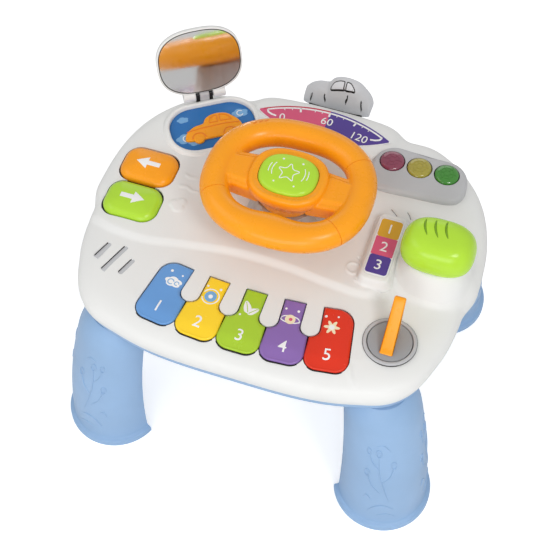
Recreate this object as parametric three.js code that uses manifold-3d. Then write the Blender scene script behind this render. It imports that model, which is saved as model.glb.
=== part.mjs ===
// A child's activity table: a white deck of play controls on a blue base and four push-fit legs.
// Millimetres, +Z up, standing on the floor at Z = 0, with the child on the -Y side.
import * as THREE from "three";
import { mergeVertices } from "three/addons/utils/BufferGeometryUtils.js";
import Module from "manifold-3d";

const wasm = await Module();
wasm.setup();

// Shared walls and clearances
const wall = 2.5;
const fit = 0.3;
const slip = 0.45;
const overrun = 2;
const weldGap = 0.0005;
const halfTurn = Math.PI;
const fullTurn = 2 * Math.PI;

// Table outline, walls and levels
const table = {
  halfWidth: 182,
  frontDepth: 151,
  rearDepth: 154,
  frontPower: 3.2,
  rearPower: 2.6,
  notchDepth: 8,
  notchOffset: 86,
  notchWidth: 16,
  legHeight: 175.7,
  baseDepth: 13.7,
  skirtHeight: 32,
  edgeRun: 34,
  dashRise: 3,
  archRise: 2.6,
  facets: 40,
};
// Inset and height of the rounded deck edge, as shares of its run and of the skirt height
const deckEdgeShares = [
  [0.13, 0], [0, 0.46], [0.03, 0.66], [0.13, 0.8], [0.35, 0.9], [1, 1],
];
const dashEdgeShares = [
  [0.022, 0.5], [0.06, 0.7], [0.17, 0.85], [0.4, 0.94], [1, 1],
];
const hollowShares = [
  [0.13, 0], [0, 0.45], [0.13, 0.78], [0.8, 1],
];
const baseEdgeShares = [
  [0.3, 0], [0.16, 0.15], [0.13, 1],
];
// Front edge of the raised dash, as shares of the half width and the front depth
const dashFrontShares = [
  [-1.2, -0.2], [-0.96, -0.24], [-0.8, -0.335], [-0.62, -0.36], [-0.42, -0.33], [-0.18, -0.29],
  [0.08, -0.29], [0.3, -0.32], [0.5, -0.33], [0.7, -0.26], [0.92, -0.17], [1.2, -0.13],
];

const level = {};
level.underside = table.legHeight + fit;
level.floor = level.underside + wall;
level.seam = level.underside + table.baseDepth;
level.skirt = level.seam + fit;
level.deck = level.skirt + table.skirtHeight;
level.dash = level.deck + table.dashRise;
level.arch = level.dash + table.archRise;

// Legs
const leg = {
  sideInset: 41,
  frontInset: 36,
  rearInset: 39,
  leanX: 18,
  leanY: 15,
  footRadius: 43,
  topRadius: 33.5,
  wall: 2.8,
  arc: 240,
  flangeReach: 4.5,
  flangeHeight: 7.5,
  flangeFillet: 3,
  plugRadius: 14,
  plugHeight: 10,
  capHeight: 3,
  arcFacets: 8,
  rings: 3,
};

// Steering wheel, its column and horn
const wheel = {
  y: 13,
  halfWidth: 63.8,
  halfDepth: 55,
  power: 2.4,
  tube: 13,
  centreHeight: 48,
  gripBulge: 6,
  gripSpan: 30,
  hubHalfWidth: 35,
  hubHalfDepth: 30,
  hubFillet: 4,
  hubFootRadius: 23,
  hubDepth: 30,
  spokeWidth: 34,
  spokeRootWidth: 42,
  spokeTop: 7,
  spokeDepth: 17,
  spokeFillet: 3,
  facets: 28,
  tubeFacets: 8,
};
const horn = {
  halfWidth: 26,
  halfDepth: 21.5,
  power: 2.5,
  recess: 9,
  rise: 3.4,
  crown: 2.4,
  travel: 2,
  domeRadius: 9,
  domeTopRadius: 5,
};
const column = {
  footRadius: 37,
  topRadius: 27,
  flutes: 12,
  fluteDepth: 1.5,
  runningGap: 0.6,
  tubeWall: 3,
  tubeLength: 14,
};
const shaft = {
  radius: 8,
  socketDepth: 12,
  sides: 12,
};

// Crank and swing lever that carry the toy car
const crank = {
  offset: 24,
  pinRadius: 3,
  pinLength: 5,
  radius: 30,
  thickness: 3.5,
  runningGap: 1,
  hubRadius: 13,
};
const lever = {
  pivotY: -45,
  thickness: 3,
  liftOverFloor: 5.5,
  halfWidth: 8,
  postRadius: 4,
  shoulderRadius: 7,
  slotLengthShare: 0.3,
  slotCentreShare: 0.09,
  headRadius: 6.5,
  headHeight: 2,
  gateHalfWidth: 51,
  carGap: 6,
  carPost: 5,
};
const car = {
  length: 70,
  thickness: 24,
  height: 38,
  liftOverSkirt: 15,
  bevel: 3.5,
  hollow: 9,
  windowDepth: 0.8,
  fenderProud: 1.6,
  fenderRadius: 9.5,
  tyreRadius: 6.5,
};
// Side view of the toy car, as shares of its length and height
const carBodyShares = [
  [-0.5, 0.06], [-0.49, 0.28], [-0.42, 0.46], [-0.3, 0.6], [-0.16, 0.66], [-0.1, 0.84],
  [0.0, 0.97], [0.14, 1.0], [0.28, 0.93], [0.38, 0.74], [0.45, 0.56], [0.49, 0.34], [0.5, 0.06],
];
const carWindowShares = [
  [[-0.05, 0.64], [-0.02, 0.8], [0.04, 0.88], [0.1, 0.9], [0.1, 0.64]],
  [[0.15, 0.64], [0.15, 0.9], [0.23, 0.88], [0.3, 0.78], [0.34, 0.64]],
];
const carFenderShares = [-0.28, 0.26];

// Piano keys, laid out as a fan about a centre far behind the table
const keys = {
  count: 5,
  fanRadius: 560,
  fanStep: 4,
  frontInset: 18,
  frontHalfWidth: 19.1,
  cornerRadius: 9,
  length: 61,
  shoulderY: 30,
  shoulderHalfWidth: 17.9,
  neckHalfWidth: 9.25,
  outerRadius: 14,
  sideGap: 0.8,
  skirt: 10,
  proud: 0.6,
  edge: 1.4,
  skin: 2,
  hingeBack: 6,
  lugRadius: 3,
  lugDrop: 9,
  armThickness: 4,
  plungerY: 17,
  plungerRadius: 3,
  plungerLength: 6,
  pressedRoom: 2.4,
  cornerSteps: 3,
};
const carrier = {
  width: 9,
  height: 8,
  halfLength: 104,
  bossRadius: 4,
  bossOffset: 99,
};
const keyMat = {
  thickness: 1,
  domeRadius: 6,
  domeTopRadius: 4,
  domeHeight: 2.6,
  margin: 5,
};
const board = {
  thickness: 1.6,
  bossRadius: 3,
};

// Turn buttons
const turn = {
  sideInset: 43,
  rearY: 23.5,
  frontY: -17.5,
  width: 52,
  depth: 38.5,
  corner: 14,
  gap: 0.8,
  rise: 5.5,
  fillet: 5,
  flange: 1.6,
  flangeHeight: 1.6,
  skin: 2,
  stemRadius: 5,
  travel: 2.5,
  domeHeight: 4,
  domeRadius: 7,
  domeTopRadius: 4.5,
  stemLength: 5,
};

// Traffic light panel
const traffic = {
  rise: 7,
  seatDepth: 4,
  fillet: 3,
  ledge: 1.4,
  skin: 1.6,
  lensXShare: 0.4055,
  lensYShare: 0.6266,
  lensPitchShare: 0.1418,
  lensRadiusShare: 0.0604,
  lensRise: 3,
  lensFlange: 0.9,
  stemRadius: 4,
  domeHeight: 3.6,
  domeRadius: 5.5,
  domeTopRadius: 4,
  boardMargin: 3,
};
// Outline of the traffic light panel, as shares of the table's half width and rear depth
const trafficShares = [
  [0.305, 0.56], [0.325, 0.68], [0.39, 0.745], [0.48, 0.748], [0.57, 0.737], [0.65, 0.742],
  [0.73, 0.73], [0.785, 0.67], [0.805, 0.57], [0.785, 0.48], [0.72, 0.44], [0.56, 0.428],
  [0.4, 0.42], [0.325, 0.45],
];

// Speedometer label on the arch behind the wheel
const dial = {
  halfWidth: 65,
  tipY: 125,
  rearY: 143.7,
  frontY: 106,
  thickness: 0.8,
  recess: 0.6,
  archHalfWidth: 72,
  archFrontY: 97,
  archBevel: 3,
};

// Mirror lid and the picture tray under it
const tray = {
  x: -100.4,
  y: 88.6,
  turnDegrees: 33.6,
  length: 82,
  depth: 54,
  corner: 24,
  ridge: 6,
  ridgeRise: 3,
  panelDrop: 1.2,
  panelThickness: 1.6,
  ledge: 3,
  carLength: 56,
  carHeight: 28,
  carRise: 2.2,
  carBevel: 0.8,
};
const lid = {
  length: 82,
  depth: 66,
  power: 2.6,
  thickness: 6,
  fillet: 2,
  rim: 2.2,
  mirrorThickness: 1.6,
  openDegrees: 112,
  hingeRise: 7.6,
  hingeBack: 2.2,
  barrel: 4.2,
  pinRadius: 1.5,
  lugWidth: 16,
  earWidth: 9,
};

// Gear shifter
const shifter = {
  x: 140,
  y: -3,
  pedestalHalfWidth: 30,
  pedestalHalfDepth: 30,
  pedestalHeight: 24,
  pedestalTaper: 5,
  pedestalFillet: 3,
  pedestalFlare: 5,
  power: 2.4,
  knobHalfWidth: 32,
  knobHalfDepth: 25,
  knobHeight: 29,
  knobPower: 2.6,
  slotHalfWidth: 4.5,
  travel: 9,
  stemHalfWidth: 4,
  stemHalfDepth: 6,
  shoeMargin: 3,
  shoeThickness: 3,
  grooveWidth: 2,
  grooveDepth: 1.5,
  groovePitch: 8,
};
// Inset and height of the knob's rounded side, as shares of its half depth and height
const knobShares = [
  [0.16, 0], [0.03, 0.12], [0, 0.32], [0.05, 0.58], [0.19, 0.79], [0.4, 0.93], [0.7, 1],
];
const island = {
  x: 93,
  halfWidth: 14,
  halfDepth: 37,
  rise: 9,
  corner: 7,
  taper: 2,
  labelHalfWidth: 11,
  labelHalfDepth: 29,
  labelCorner: 5,
  labelThickness: 0.8,
  recess: 0.5,
};

// Ignition switch
const ignition = {
  x: 122.7,
  y: -84,
  ringRadius: 23.2,
  discRadius: 19.3,
  recess: 1.2,
  ringRise: 1.4,
  tubeWall: 2,
  tubeLength: 11,
  stemRadius: 6,
  discThickness: 3,
  slotDepth: 1.8,
  keyThickness: 9.4,
  tenonInset: 1.5,
};
// Side view of the ignition key in real sizes: distance behind the disc's centre, height over the disc
const ignitionKey = { front: -14, back: 11, tipBack: 22, tipRound: 4, tipHeight: 36, waist: 12 };

// Speaker behind its slots
const speaker = {
  sideInset: 48.6,
  frontInset: 72.2,
  slotTurnDegrees: 69.5,
  slotPitch: 14.2,
  slotWidth: 5,
  longSlot: 32,
  shortSlot: 19,
  radius: 20,
  coneDepth: 6,
  magnetRadius: 11,
  magnetDepth: 6,
  frameEdge: 1.5,
  ringWall: 2,
  ringDepth: 5,
};

// Battery box, its cover and cells
const battery = {
  cellRadius: 7.2,
  cellLength: 50,
  cells: 2,
  pitch: 15.4,
  contactRoom: 2.4,
  contactInset: 1,
  nubLength: 2,
  frontInset: 43,
  boxWall: 2,
  coverLip: 3,
  coverThickness: 2,
  screwRadius: 1.6,
  screwHead: 3,
  screwOffset: 3,
};

// Screws that join the two halves of the housing
const screw = {
  frontSideInset: 22,
  frontY: -45,
  rearX: 58,
  rearInset: 28,
  headRadius: 3.6,
  headHeight: 2.4,
  headDepth: 6,
  shankRadius: 1.7,
  grip: 12,
  bossRadius: 5.6,
  towerRadius: 4.6,
  towerStart: 8,
};

// Main circuit board and power switch
const mainBoard = { x: -88, y: 10, halfWidth: 27, halfDepth: 30, lift: 5.2 };
const power = { x: 84, y: 10, length: 22, width: 9, nub: 7, travel: 3, proud: 1.6 };

const rearReach = -lever.pivotY;
const paint = {
  white: "#ececea", blue: "#96b6dc", orange: "#fca326", lime: "#b5e03c", red: "#e23416",
  keyBlue: "#689bd6", keyYellow: "#ffd62b", keyGreen: "#acd032", keyPurple: "#8c6ab0",
  grey: "#bebec0", darkGrey: "#6c6e72", deepBlue: "#2e75b6", violet: "#50419b", pink: "#de5f82",
  lensRed: "#873e54", lensYellow: "#a59b3c", lensGreen: "#3e8728", steel: "#c4c8cc",
  silicone: "#d8dde0", circuit: "#2c6b3f", black: "#26272a", mirror: "#dfe5ea",
};

// Solids from closed geometry, and geometry back from solids
function solid(geometry) {
  const loose = geometry.index ? geometry.toNonIndexed() : geometry.clone();
  const bare = new THREE.BufferGeometry().setAttribute("position", loose.getAttribute("position"));
  const merged = mergeVertices(bare, weldGap);
  const vertProperties = new Float32Array(merged.attributes.position.array);
  const triVerts = new Uint32Array(merged.index.array);
  const kept = dropFlat(triVerts);
  const made = new wasm.Manifold(new wasm.Mesh({ numProp: 3, vertProperties, triVerts: kept }));
  if (made.volume() > 0) return made;
  const turned = kept.slice();
  for (let i = 0; i < turned.length; i += 3) {
    turned[i] = kept[i + 1];
    turned[i + 1] = kept[i];
  }
  return new wasm.Manifold(new wasm.Mesh({ numProp: 3, vertProperties, triVerts: turned }));
}

function dropFlat(triVerts) {
  const kept = [];
  for (let i = 0; i < triVerts.length; i += 3) {
    const [a, b, c] = triVerts.slice(i, i + 3);
    if (a !== b && b !== c && c !== a) kept.push(a, b, c);
  }
  return new Uint32Array(kept);
}

function geometryOf(body) {
  const mesh = body.getMesh();
  const geometry = new THREE.BufferGeometry();
  const xyz = new Float32Array(mesh.numVert * 3);
  for (let i = 0; i < mesh.numVert; i++) {
    for (let k = 0; k < 3; k++) xyz[3 * i + k] = mesh.vertProperties[mesh.numProp * i + k];
  }
  geometry.setAttribute("position", new THREE.BufferAttribute(xyz, 3));
  geometry.setIndex(Array.from(mesh.triVerts));
  geometry.computeVertexNormals();
  return geometry;
}

const joined = (bodies) => bodies.reduce((all, next) => all.add(next));
const cut = (body, tools) => tools.reduce((rest, tool) => rest.subtract(tool), body);

// Loops are closed outlines of Vector2, counter-clockwise
const at = (x, y) => new THREE.Vector2(x, y);

// Reach of a soft-cornered rectangle from its centre, along a direction given by cosine and sine
function superReach(halfWidth, halfDepth, exponent, c, s) {
  const sum = Math.abs(c / halfWidth) ** exponent + Math.abs(s / halfDepth) ** exponent;
  return sum ** (-1 / exponent);
}

function superLoop(halfWidth, halfDepth, exponent, facets, x = 0, y = 0) {
  return Array.from({ length: facets }, (_, i) => {
    const angle = (fullTurn * i) / facets;
    const c = Math.cos(angle);
    const s = Math.sin(angle);
    const reach = superReach(halfWidth, halfDepth, exponent, c, s);
    return at(x + reach * c, y + reach * s);
  });
}

const circle = (radius, facets, x = 0, y = 0) => superLoop(radius, radius, 2, facets, x, y);

function roundedRect(width, depth, corner, steps, x = 0, y = 0) {
  const loop = [];
  const corners = [[1, 1], [-1, 1], [-1, -1], [1, -1]];
  corners.forEach(([sx, sy], quarter) => {
    for (let i = 0; i <= steps; i++) {
      const angle = (halfTurn / 2) * (quarter + i / steps);
      const cx = sx * (width / 2 - corner);
      const cy = sy * (depth / 2 - corner);
      loop.push(at(x + cx + corner * Math.cos(angle), y + cy + corner * Math.sin(angle)));
    }
  });
  return loop;
}

function placed(loop, x, y, degrees) {
  const angle = THREE.MathUtils.degToRad(degrees);
  return loop.map((p) => p.clone().rotateAround(at(0, 0), angle).add(at(x, y)));
}

function splineLoop(points, facets) {
  const curve = new THREE.CatmullRomCurve3(points.map((p) => new THREE.Vector3(p.x, p.y, 0)), true);
  const loop = curve.getSpacedPoints(facets).slice(0, facets).map((p) => at(p.x, p.y));
  return counterClockwise(loop);
}

function counterClockwise(loop) {
  return THREE.ShapeUtils.area(loop) < 0 ? loop.slice().reverse() : loop;
}

// A loop moved inwards by a distance, or outwards by a negative one
function inset(loop, distance) {
  const n = loop.length;
  return loop.map((p, i) => {
    const before = p.clone().sub(loop[(i + n - 1) % n]).normalize();
    const after = loop[(i + 1) % n].clone().sub(p).normalize();
    const inward = at(-before.y - after.y, before.x + after.x);
    const half = inward.length() / 2;
    return p.clone().addScaledVector(inward.normalize(), distance / Math.max(half, 0.5));
  });
}

// A closed body through rings of equal count, capped at both ends
function lofted(rings) {
  const count = rings[0].length;
  const points = rings.flat();
  const faces = [];
  for (let r = 0; r + 1 < rings.length; r++) {
    for (let i = 0; i < count; i++) {
      const a = r * count + i;
      const b = r * count + ((i + 1) % count);
      faces.push(a, b, b + count, a, b + count, a + count);
    }
  }
  const capOf = (ring, start, flip) => {
    const flat = ring.map((p) => at(p.x, p.y));
    for (const [a, b, c] of THREE.ShapeUtils.triangulateShape(flat, [])) {
      faces.push(start + a, start + (flip ? c : b), start + (flip ? b : c));
    }
  };
  capOf(rings[0], 0, true);
  capOf(rings.at(-1), count * (rings.length - 1), false);
  return solidOfFaces(points, faces);
}

function solidOfFaces(points, faces) {
  const geometry = new THREE.BufferGeometry();
  const xyz = new Float32Array(points.flatMap((p) => [p.x, p.y, p.z]));
  geometry.setAttribute("position", new THREE.BufferAttribute(xyz, 3));
  geometry.setIndex(faces);
  return solid(geometry);
}

const lift = (loop, z) => loop.map((p) => new THREE.Vector3(p.x, p.y, z));
const raised = (loop, steps) => lofted(steps.map(([distance, z]) => lift(inset(loop, distance), z)));

function plate(loop, bottom, top) {
  const geometry = new THREE.ExtrudeGeometry(new THREE.Shape(loop), {
    depth: top - bottom,
    bevelEnabled: false,
  });
  return solid(geometry.translate(0, 0, bottom));
}

const rod = (radius, bottom, top, x, y, sides = 16) => plate(circle(radius, sides, x, y), bottom, top);

function revolved(profile, sides) {
  const geometry = new THREE.LatheGeometry(profile.map(([radius, z]) => at(radius, z)), sides);
  return solid(geometry.rotateX(halfTurn / 2));
}

function moved(body, matrix) {
  return solid(geometryOf(body).applyMatrix4(matrix));
}

const shifted = (body, x, y, z) => moved(body, new THREE.Matrix4().makeTranslation(x, y, z));

function slab(x0, x1, y0, y1, z0, z1) {
  const geometry = new THREE.BoxGeometry(x1 - x0, y1 - y0, z1 - z0);
  return solid(geometry.translate((x0 + x1) / 2, (y0 + y1) / 2, (z0 + z1) / 2));
}

// A silicone dome: a low truncated cone, hollow and open below
function rubberDome(radius, topRadius, height, x, y, bottom) {
  const skin = height / 4;
  const outer = revolved([[0, 0], [radius, 0], [topRadius, height], [0, height]], 6);
  const inner = revolved(
    [[0, -skin], [radius - skin, -skin], [topRadius - skin, height - skin], [0, height - skin]], 6);
  return shifted(outer.subtract(inner), x, y, bottom);
}

// Assembly
const model = new THREE.Group();

function material(colour, roughness, metalness = 0, opacity = 1) {
  const finish = new THREE.MeshStandardMaterial({ color: colour, roughness, metalness });
  finish.opacity = opacity;
  finish.transparent = opacity < 1;
  return finish;
}

function piece(name, body, finish, parent = model) {
  const mesh = new THREE.Mesh(geometryOf(body), finish);
  mesh.name = name;
  parent.add(mesh);
  return mesh;
}

// Outline of the table at its widest
function tableLoop() {
  return Array.from({ length: table.facets }, (_, i) => {
    const angle = (fullTurn * i) / table.facets;
    const c = Math.cos(angle);
    const s = Math.sin(angle);
    const depth = s > 0 ? table.rearDepth : table.frontDepth;
    const exponent = s > 0 ? table.rearPower : table.frontPower;
    const reach = superReach(table.halfWidth, depth, exponent, c, s);
    const off = (Math.abs(reach * c) - table.notchOffset) / table.notchWidth;
    const dip = s > 0 ? table.notchDepth * Math.exp(-off * off) : 0;
    return at((reach - dip) * c, (reach - dip) * s);
  });
}

// The deck as a solid form, or its hollow when shrunk by the wall
function edgeForm(shares, base, height, shrink) {
  const loop = tableLoop();
  const steps = shares.map(([run, up]) => [run * table.edgeRun + shrink, base + up * height - shrink]);
  if (shrink > 0) steps[0][1] = base - overrun;
  return raised(loop, steps);
}

function dashRegion(shrink) {
  const front = dashFrontShares.map(([x, y]) => at(x * table.halfWidth, y * table.frontDepth + shrink));
  const curve = new THREE.SplineCurve(front);
  const first = front[0];
  const last = front.at(-1);
  const rear = table.rearDepth * 1.2;
  const loop = [...curve.getPoints(16), at(last.x, rear), at(first.x, rear)];
  const low = level.skirt;
  const top = level.dash + overrun;
  return raised(loop, [
    [0, low],
    [0, level.deck - table.dashRise / 2 - shrink],
    [2 * table.dashRise, level.dash - shrink],
    [2 * table.dashRise + overrun / 4, top],
  ]);
}

function archRegion() {
  const rear = table.rearDepth * 1.1;
  const depth = rear - dial.archFrontY;
  const loop = roundedRect(2 * dial.archHalfWidth, depth, depth / 4, 3, 0, rear - depth / 2);
  return raised(loop, [
    [-dial.archBevel, level.skirt],
    [-dial.archBevel / 2, level.dash],
    [dial.archBevel / 2, level.arch],
    [dial.archBevel / 2 + overrun / 4, level.arch + overrun],
  ]);
}

function deckForm() {
  const dashHeight = table.skirtHeight + table.dashRise;
  const archHeight = dashHeight + table.archRise;
  const deck = edgeForm(deckEdgeShares, level.skirt, table.skirtHeight, 0);
  const dash = edgeForm(dashEdgeShares, level.skirt, dashHeight, 0).intersect(dashRegion(0));
  const arch = edgeForm(dashEdgeShares, level.skirt, archHeight, 0).intersect(archRegion());
  return joined([deck, dash, arch, pedestalForm(0), islandForm(0)]);
}

function hollowForm(shrink) {
  const dashHeight = table.skirtHeight + table.dashRise;
  const deck = edgeForm(hollowShares, level.skirt, table.skirtHeight, shrink);
  const dash = edgeForm(hollowShares, level.skirt, dashHeight, shrink).intersect(dashRegion(shrink));
  return joined([deck, dash, pedestalForm(shrink), islandForm(shrink)]);
}

// Mound that carries the gear knob
function pedestalForm(shrink) {
  const loop = superLoop(shifter.pedestalHalfWidth, shifter.pedestalHalfDepth, shifter.power, 22,
    shifter.x, shifter.y);
  const top = level.dash + shifter.pedestalHeight - shrink;
  const low = level.deck - wall - overrun;
  return raised(loop, [
    [shrink - shifter.pedestalFlare, low],
    [shrink - shifter.pedestalFlare, level.deck - shrink],
    [shrink, level.dash + shifter.pedestalFlare - shrink],
    [shrink + shifter.pedestalTaper, top - shifter.pedestalFillet],
    [shrink + shifter.pedestalTaper + shifter.pedestalFillet, top],
  ]);
}

// Raised strip that carries the gear label
function islandForm(shrink) {
  const loop = roundedRect(2 * island.halfWidth, 2 * island.halfDepth, island.corner, 3, island.x, 0);
  const top = level.dash + island.rise - shrink;
  return raised(loop, [
    [shrink - island.taper, level.deck - wall - overrun],
    [shrink - island.taper / 2, level.dash - shrink],
    [shrink + island.taper / 2, top - island.taper],
    [shrink + island.taper, top],
  ]);
}

// Fluted column under the steering wheel, with the shaft's bearing tube inside the housing
const columnTop = () => wheelBottom() - column.runningGap;
const wheelCentre = () => level.deck + wheel.centreHeight;
const hubTop = () => wheelCentre() + wheel.tube;
const wheelBottom = () => hubTop() - wheel.hubDepth;

function columnForm() {
  const facets = column.flutes * 2;
  const loop = (radius) => Array.from({ length: facets }, (_, i) => {
    const angle = (fullTurn * i) / facets;
    const reach = radius + (i % 2 ? -1 : 1) * (column.fluteDepth / 2);
    return at(reach * Math.cos(angle), wheel.y + reach * Math.sin(angle));
  });
  return lofted([
    lift(loop(column.footRadius), level.dash - wall),
    lift(loop(column.footRadius), level.dash + wall),
    lift(loop(column.topRadius), columnTop()),
  ]);
}

function columnHollow() {
  const tube = shaft.radius + slip + column.tubeWall;
  const profile = [
    [tube, level.dash - wall - overrun],
    [column.footRadius - wall - column.fluteDepth, level.dash - wall - overrun],
    [column.topRadius - wall - column.fluteDepth, columnTop() - wall],
    [tube, columnTop() - wall],
    [tube, level.dash - wall - overrun],
  ];
  return shifted(revolved(profile, 12), 0, wheel.y, 0);
}

const tubeBottom = () => level.dash - wall - column.tubeLength;

function bearingTube() {
  const radius = shaft.radius + slip + column.tubeWall;
  return rod(radius, tubeBottom(), columnTop() - wall / 2, 0, wheel.y, shaft.sides);
}

// Piano key outline in its own frame: front at y = 0, running back along +y
function keyLoop(side, grow) {
  const corner = keys.cornerRadius;
  const front = keys.frontHalfWidth;
  const shoulder = keys.shoulderHalfWidth;
  const half = (sign) => {
    const edge = [];
    for (let i = 0; i <= keys.cornerSteps; i++) {
      const angle = (halfTurn / 2) * (i / keys.cornerSteps);
      edge.push(at(front - corner + corner * Math.sin(angle), corner - corner * Math.cos(angle)));
    }
    if (sign === side) edge.push(...outerCorner(shoulder));
    else edge.push(...neckCorner(shoulder));
    return edge.map((p) => at(sign * p.x, p.y));
  };
  const right = half(1);
  const left = half(-1).reverse();
  return inset([...right, ...left], -grow);
}

function outerCorner(shoulder) {
  const edge = [];
  for (let i = 0; i <= keys.cornerSteps; i++) {
    const angle = (halfTurn / 2) * (i / keys.cornerSteps);
    const x = shoulder - keys.outerRadius + keys.outerRadius * Math.cos(angle);
    edge.push(at(x, keys.length - keys.outerRadius + keys.outerRadius * Math.sin(angle)));
  }
  return edge;
}

function neckCorner(shoulder) {
  const radius = shoulder - keys.neckHalfWidth;
  const edge = [];
  for (let i = 0; i <= keys.cornerSteps; i++) {
    const angle = (halfTurn / 2) * (i / keys.cornerSteps);
    const x = shoulder - radius * Math.sin(angle);
    edge.push(at(x, keys.shoulderY + radius - radius * Math.cos(angle)));
  }
  edge.push(at(keys.neckHalfWidth, keys.length));
  return edge;
}

const keyFrontY = () => keys.frontInset - table.frontDepth;
const fanCentreY = () => keyFrontY() + keys.fanRadius;
const keyTop = () => level.deck + keys.proud;
const keySide = (index) => (index === 0 ? -1 : index === keys.count - 1 ? 1 : 0);

function keyMatrix(index) {
  const angle = THREE.MathUtils.degToRad((index - (keys.count - 1) / 2) * keys.fanStep);
  return new THREE.Matrix4()
    .makeTranslation(0, fanCentreY(), 0)
    .multiply(new THREE.Matrix4().makeRotationZ(angle))
    .multiply(new THREE.Matrix4().makeTranslation(0, -keys.fanRadius, 0));
}

const keyHingeY = () => keys.length + keys.hingeBack;
const keyHingeZ = () => keyTop() - keys.lugDrop;

function acrossRod(radius, halfLength, y, z, sides = 8) {
  const geometry = new THREE.CylinderGeometry(radius, radius, 2 * halfLength, sides);
  return solid(geometry.rotateZ(halfTurn / 2).translate(0, y, z));
}

function keyBody(index) {
  const loop = keyLoop(keySide(index), 0);
  const top = keyTop();
  const bottom = top - keys.skirt;
  const cap = raised(loop, [
    [0, bottom],
    [0, top - keys.edge],
    [keys.edge, top],
  ]);
  const hollow = raised(loop, [[keys.skin, bottom - overrun], [keys.skin, top - keys.skin]]);
  const plunger = rod(keys.plungerRadius, bottom - keys.plungerLength, top - keys.skin / 2, 0,
    keys.plungerY, 6);
  const halfLug = keys.neckHalfWidth - keys.sideGap;
  const arm = slab(-halfLug, halfLug, keys.length - 2 * keys.skin, keyHingeY(),
    keyHingeZ(), keyHingeZ() + keys.armThickness);
  const lug = acrossRod(keys.lugRadius, halfLug, keyHingeY(), keyHingeZ());
  return joined([cap.subtract(hollow), plunger, arm, lug]);
}

function keyOpening() {
  const holes = [];
  for (let i = 0; i < keys.count; i++) {
    const hole = plate(keyLoop(keySide(i), keys.sideGap), keyTop() - keys.skirt - overrun,
      level.deck + table.dashRise);
    holes.push(moved(hole, keyMatrix(i)));
  }
  return joined(holes);
}

function makeKeys() {
  const colours = [paint.keyBlue, paint.keyYellow, paint.keyGreen, paint.keyPurple, paint.red];
  for (let i = 0; i < keys.count; i++) {
    const mesh = piece(`piano_key_${i + 1}`, keyBody(i), material(colours[i], 0.35));
    mesh.applyMatrix4(keyMatrix(i));
  }
}

// Bar with five saddles that the keys' hinge lugs turn in
const carrierTop = () => keyHingeZ() - slip;

function carrierArc(width, bottom, top, reachX) {
  const centre = fanCentreY();
  const radius = keys.fanRadius - keyHingeY();
  const span = Math.asin(reachX / radius);
  const steps = 8;
  const edge = (r) => Array.from({ length: steps + 1 }, (_, i) => {
    const angle = -span + (2 * span * i) / steps;
    return at(r * Math.sin(angle), centre - r * Math.cos(angle));
  });
  return plate([...edge(radius + width / 2), ...edge(radius - width / 2).reverse()], bottom, top);
}

function bossPlace(sign) {
  const radius = keys.fanRadius - keyHingeY();
  const angle = Math.asin(carrier.bossOffset / radius);
  return [sign * carrier.bossOffset, fanCentreY() - radius * Math.cos(angle)];
}

function makeKeyCarrier() {
  const bar = carrierArc(carrier.width, carrierTop() - carrier.height, carrierTop(), carrier.halfLength);
  const saddles = [];
  for (let i = 0; i < keys.count; i++) {
    const groove = acrossRod(keys.lugRadius + fit, keys.neckHalfWidth, keyHingeY(), keyHingeZ());
    saddles.push(moved(groove, keyMatrix(i)));
  }
  piece("key_carrier", cut(bar, saddles), material(paint.white, 0.5));
}

function carrierBosses() {
  return [-1, 1].map((sign) => {
    const [x, y] = bossPlace(sign);
    return rod(carrier.bossRadius, carrierTop() + fit, level.deck - wall / 2, x, y, 6);
  });
}

// Key board and silicone mat under the keys
const matTop = () => keyTop() - keys.skirt - keys.plungerLength - keys.pressedRoom - fit;
const matBase = () => matTop() - keyMat.domeHeight - keyMat.thickness;
const keyBoardTop = () => matBase() - fit;

function plungerPlace(index) {
  const p = new THREE.Vector3(0, keys.plungerY, 0).applyMatrix4(keyMatrix(index));
  return [p.x, p.y];
}

function keyBoardLoop(margin) {
  const [right, y] = plungerPlace(keys.count - 1);
  const [, front] = plungerPlace((keys.count - 1) / 2);
  const reach = keyMat.domeRadius + margin;
  const depth = y - front + 2 * reach;
  return roundedRect(2 * (right + reach), depth, margin, 2, 0, (y + front) / 2);
}

function makeKeyBoard() {
  const top = keyBoardTop();
  piece("key_board", plate(keyBoardLoop(keyMat.margin), top - board.thickness, top),
    material(paint.circuit, 0.6));
  let mat = plate(keyBoardLoop(keyMat.margin / 2), matBase(), matBase() + keyMat.thickness);
  for (let i = 0; i < keys.count; i++) {
    const [x, y] = plungerPlace(i);
    const low = matBase() + keyMat.thickness / 2;
    const dome = revolved([
      [0, 0], [keyMat.domeRadius, 0], [keyMat.domeTopRadius, matTop() - low], [0, matTop() - low],
    ], 6);
    mat = mat.add(shifted(dome, x, y, low));
  }
  piece("key_contact_mat", mat, material(paint.silicone, 0.7));
}

// Turn buttons
const turnY = { left: turn.rearY, right: turn.frontY };
const turnX = () => turn.sideInset - table.halfWidth;
const turnLoop = (y, grow) => roundedRect(turn.width + 2 * grow, turn.depth + 2 * grow,
  turn.corner + grow, 3, turnX(), y);
const turnFlangeTop = () => level.dash - wall - fit;
const turnStemBottom = () => turnFlangeTop() - turn.flangeHeight - turn.stemLength;
const turnBoardTop = () => turnStemBottom() - fit - turn.domeHeight - fit;

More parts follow.
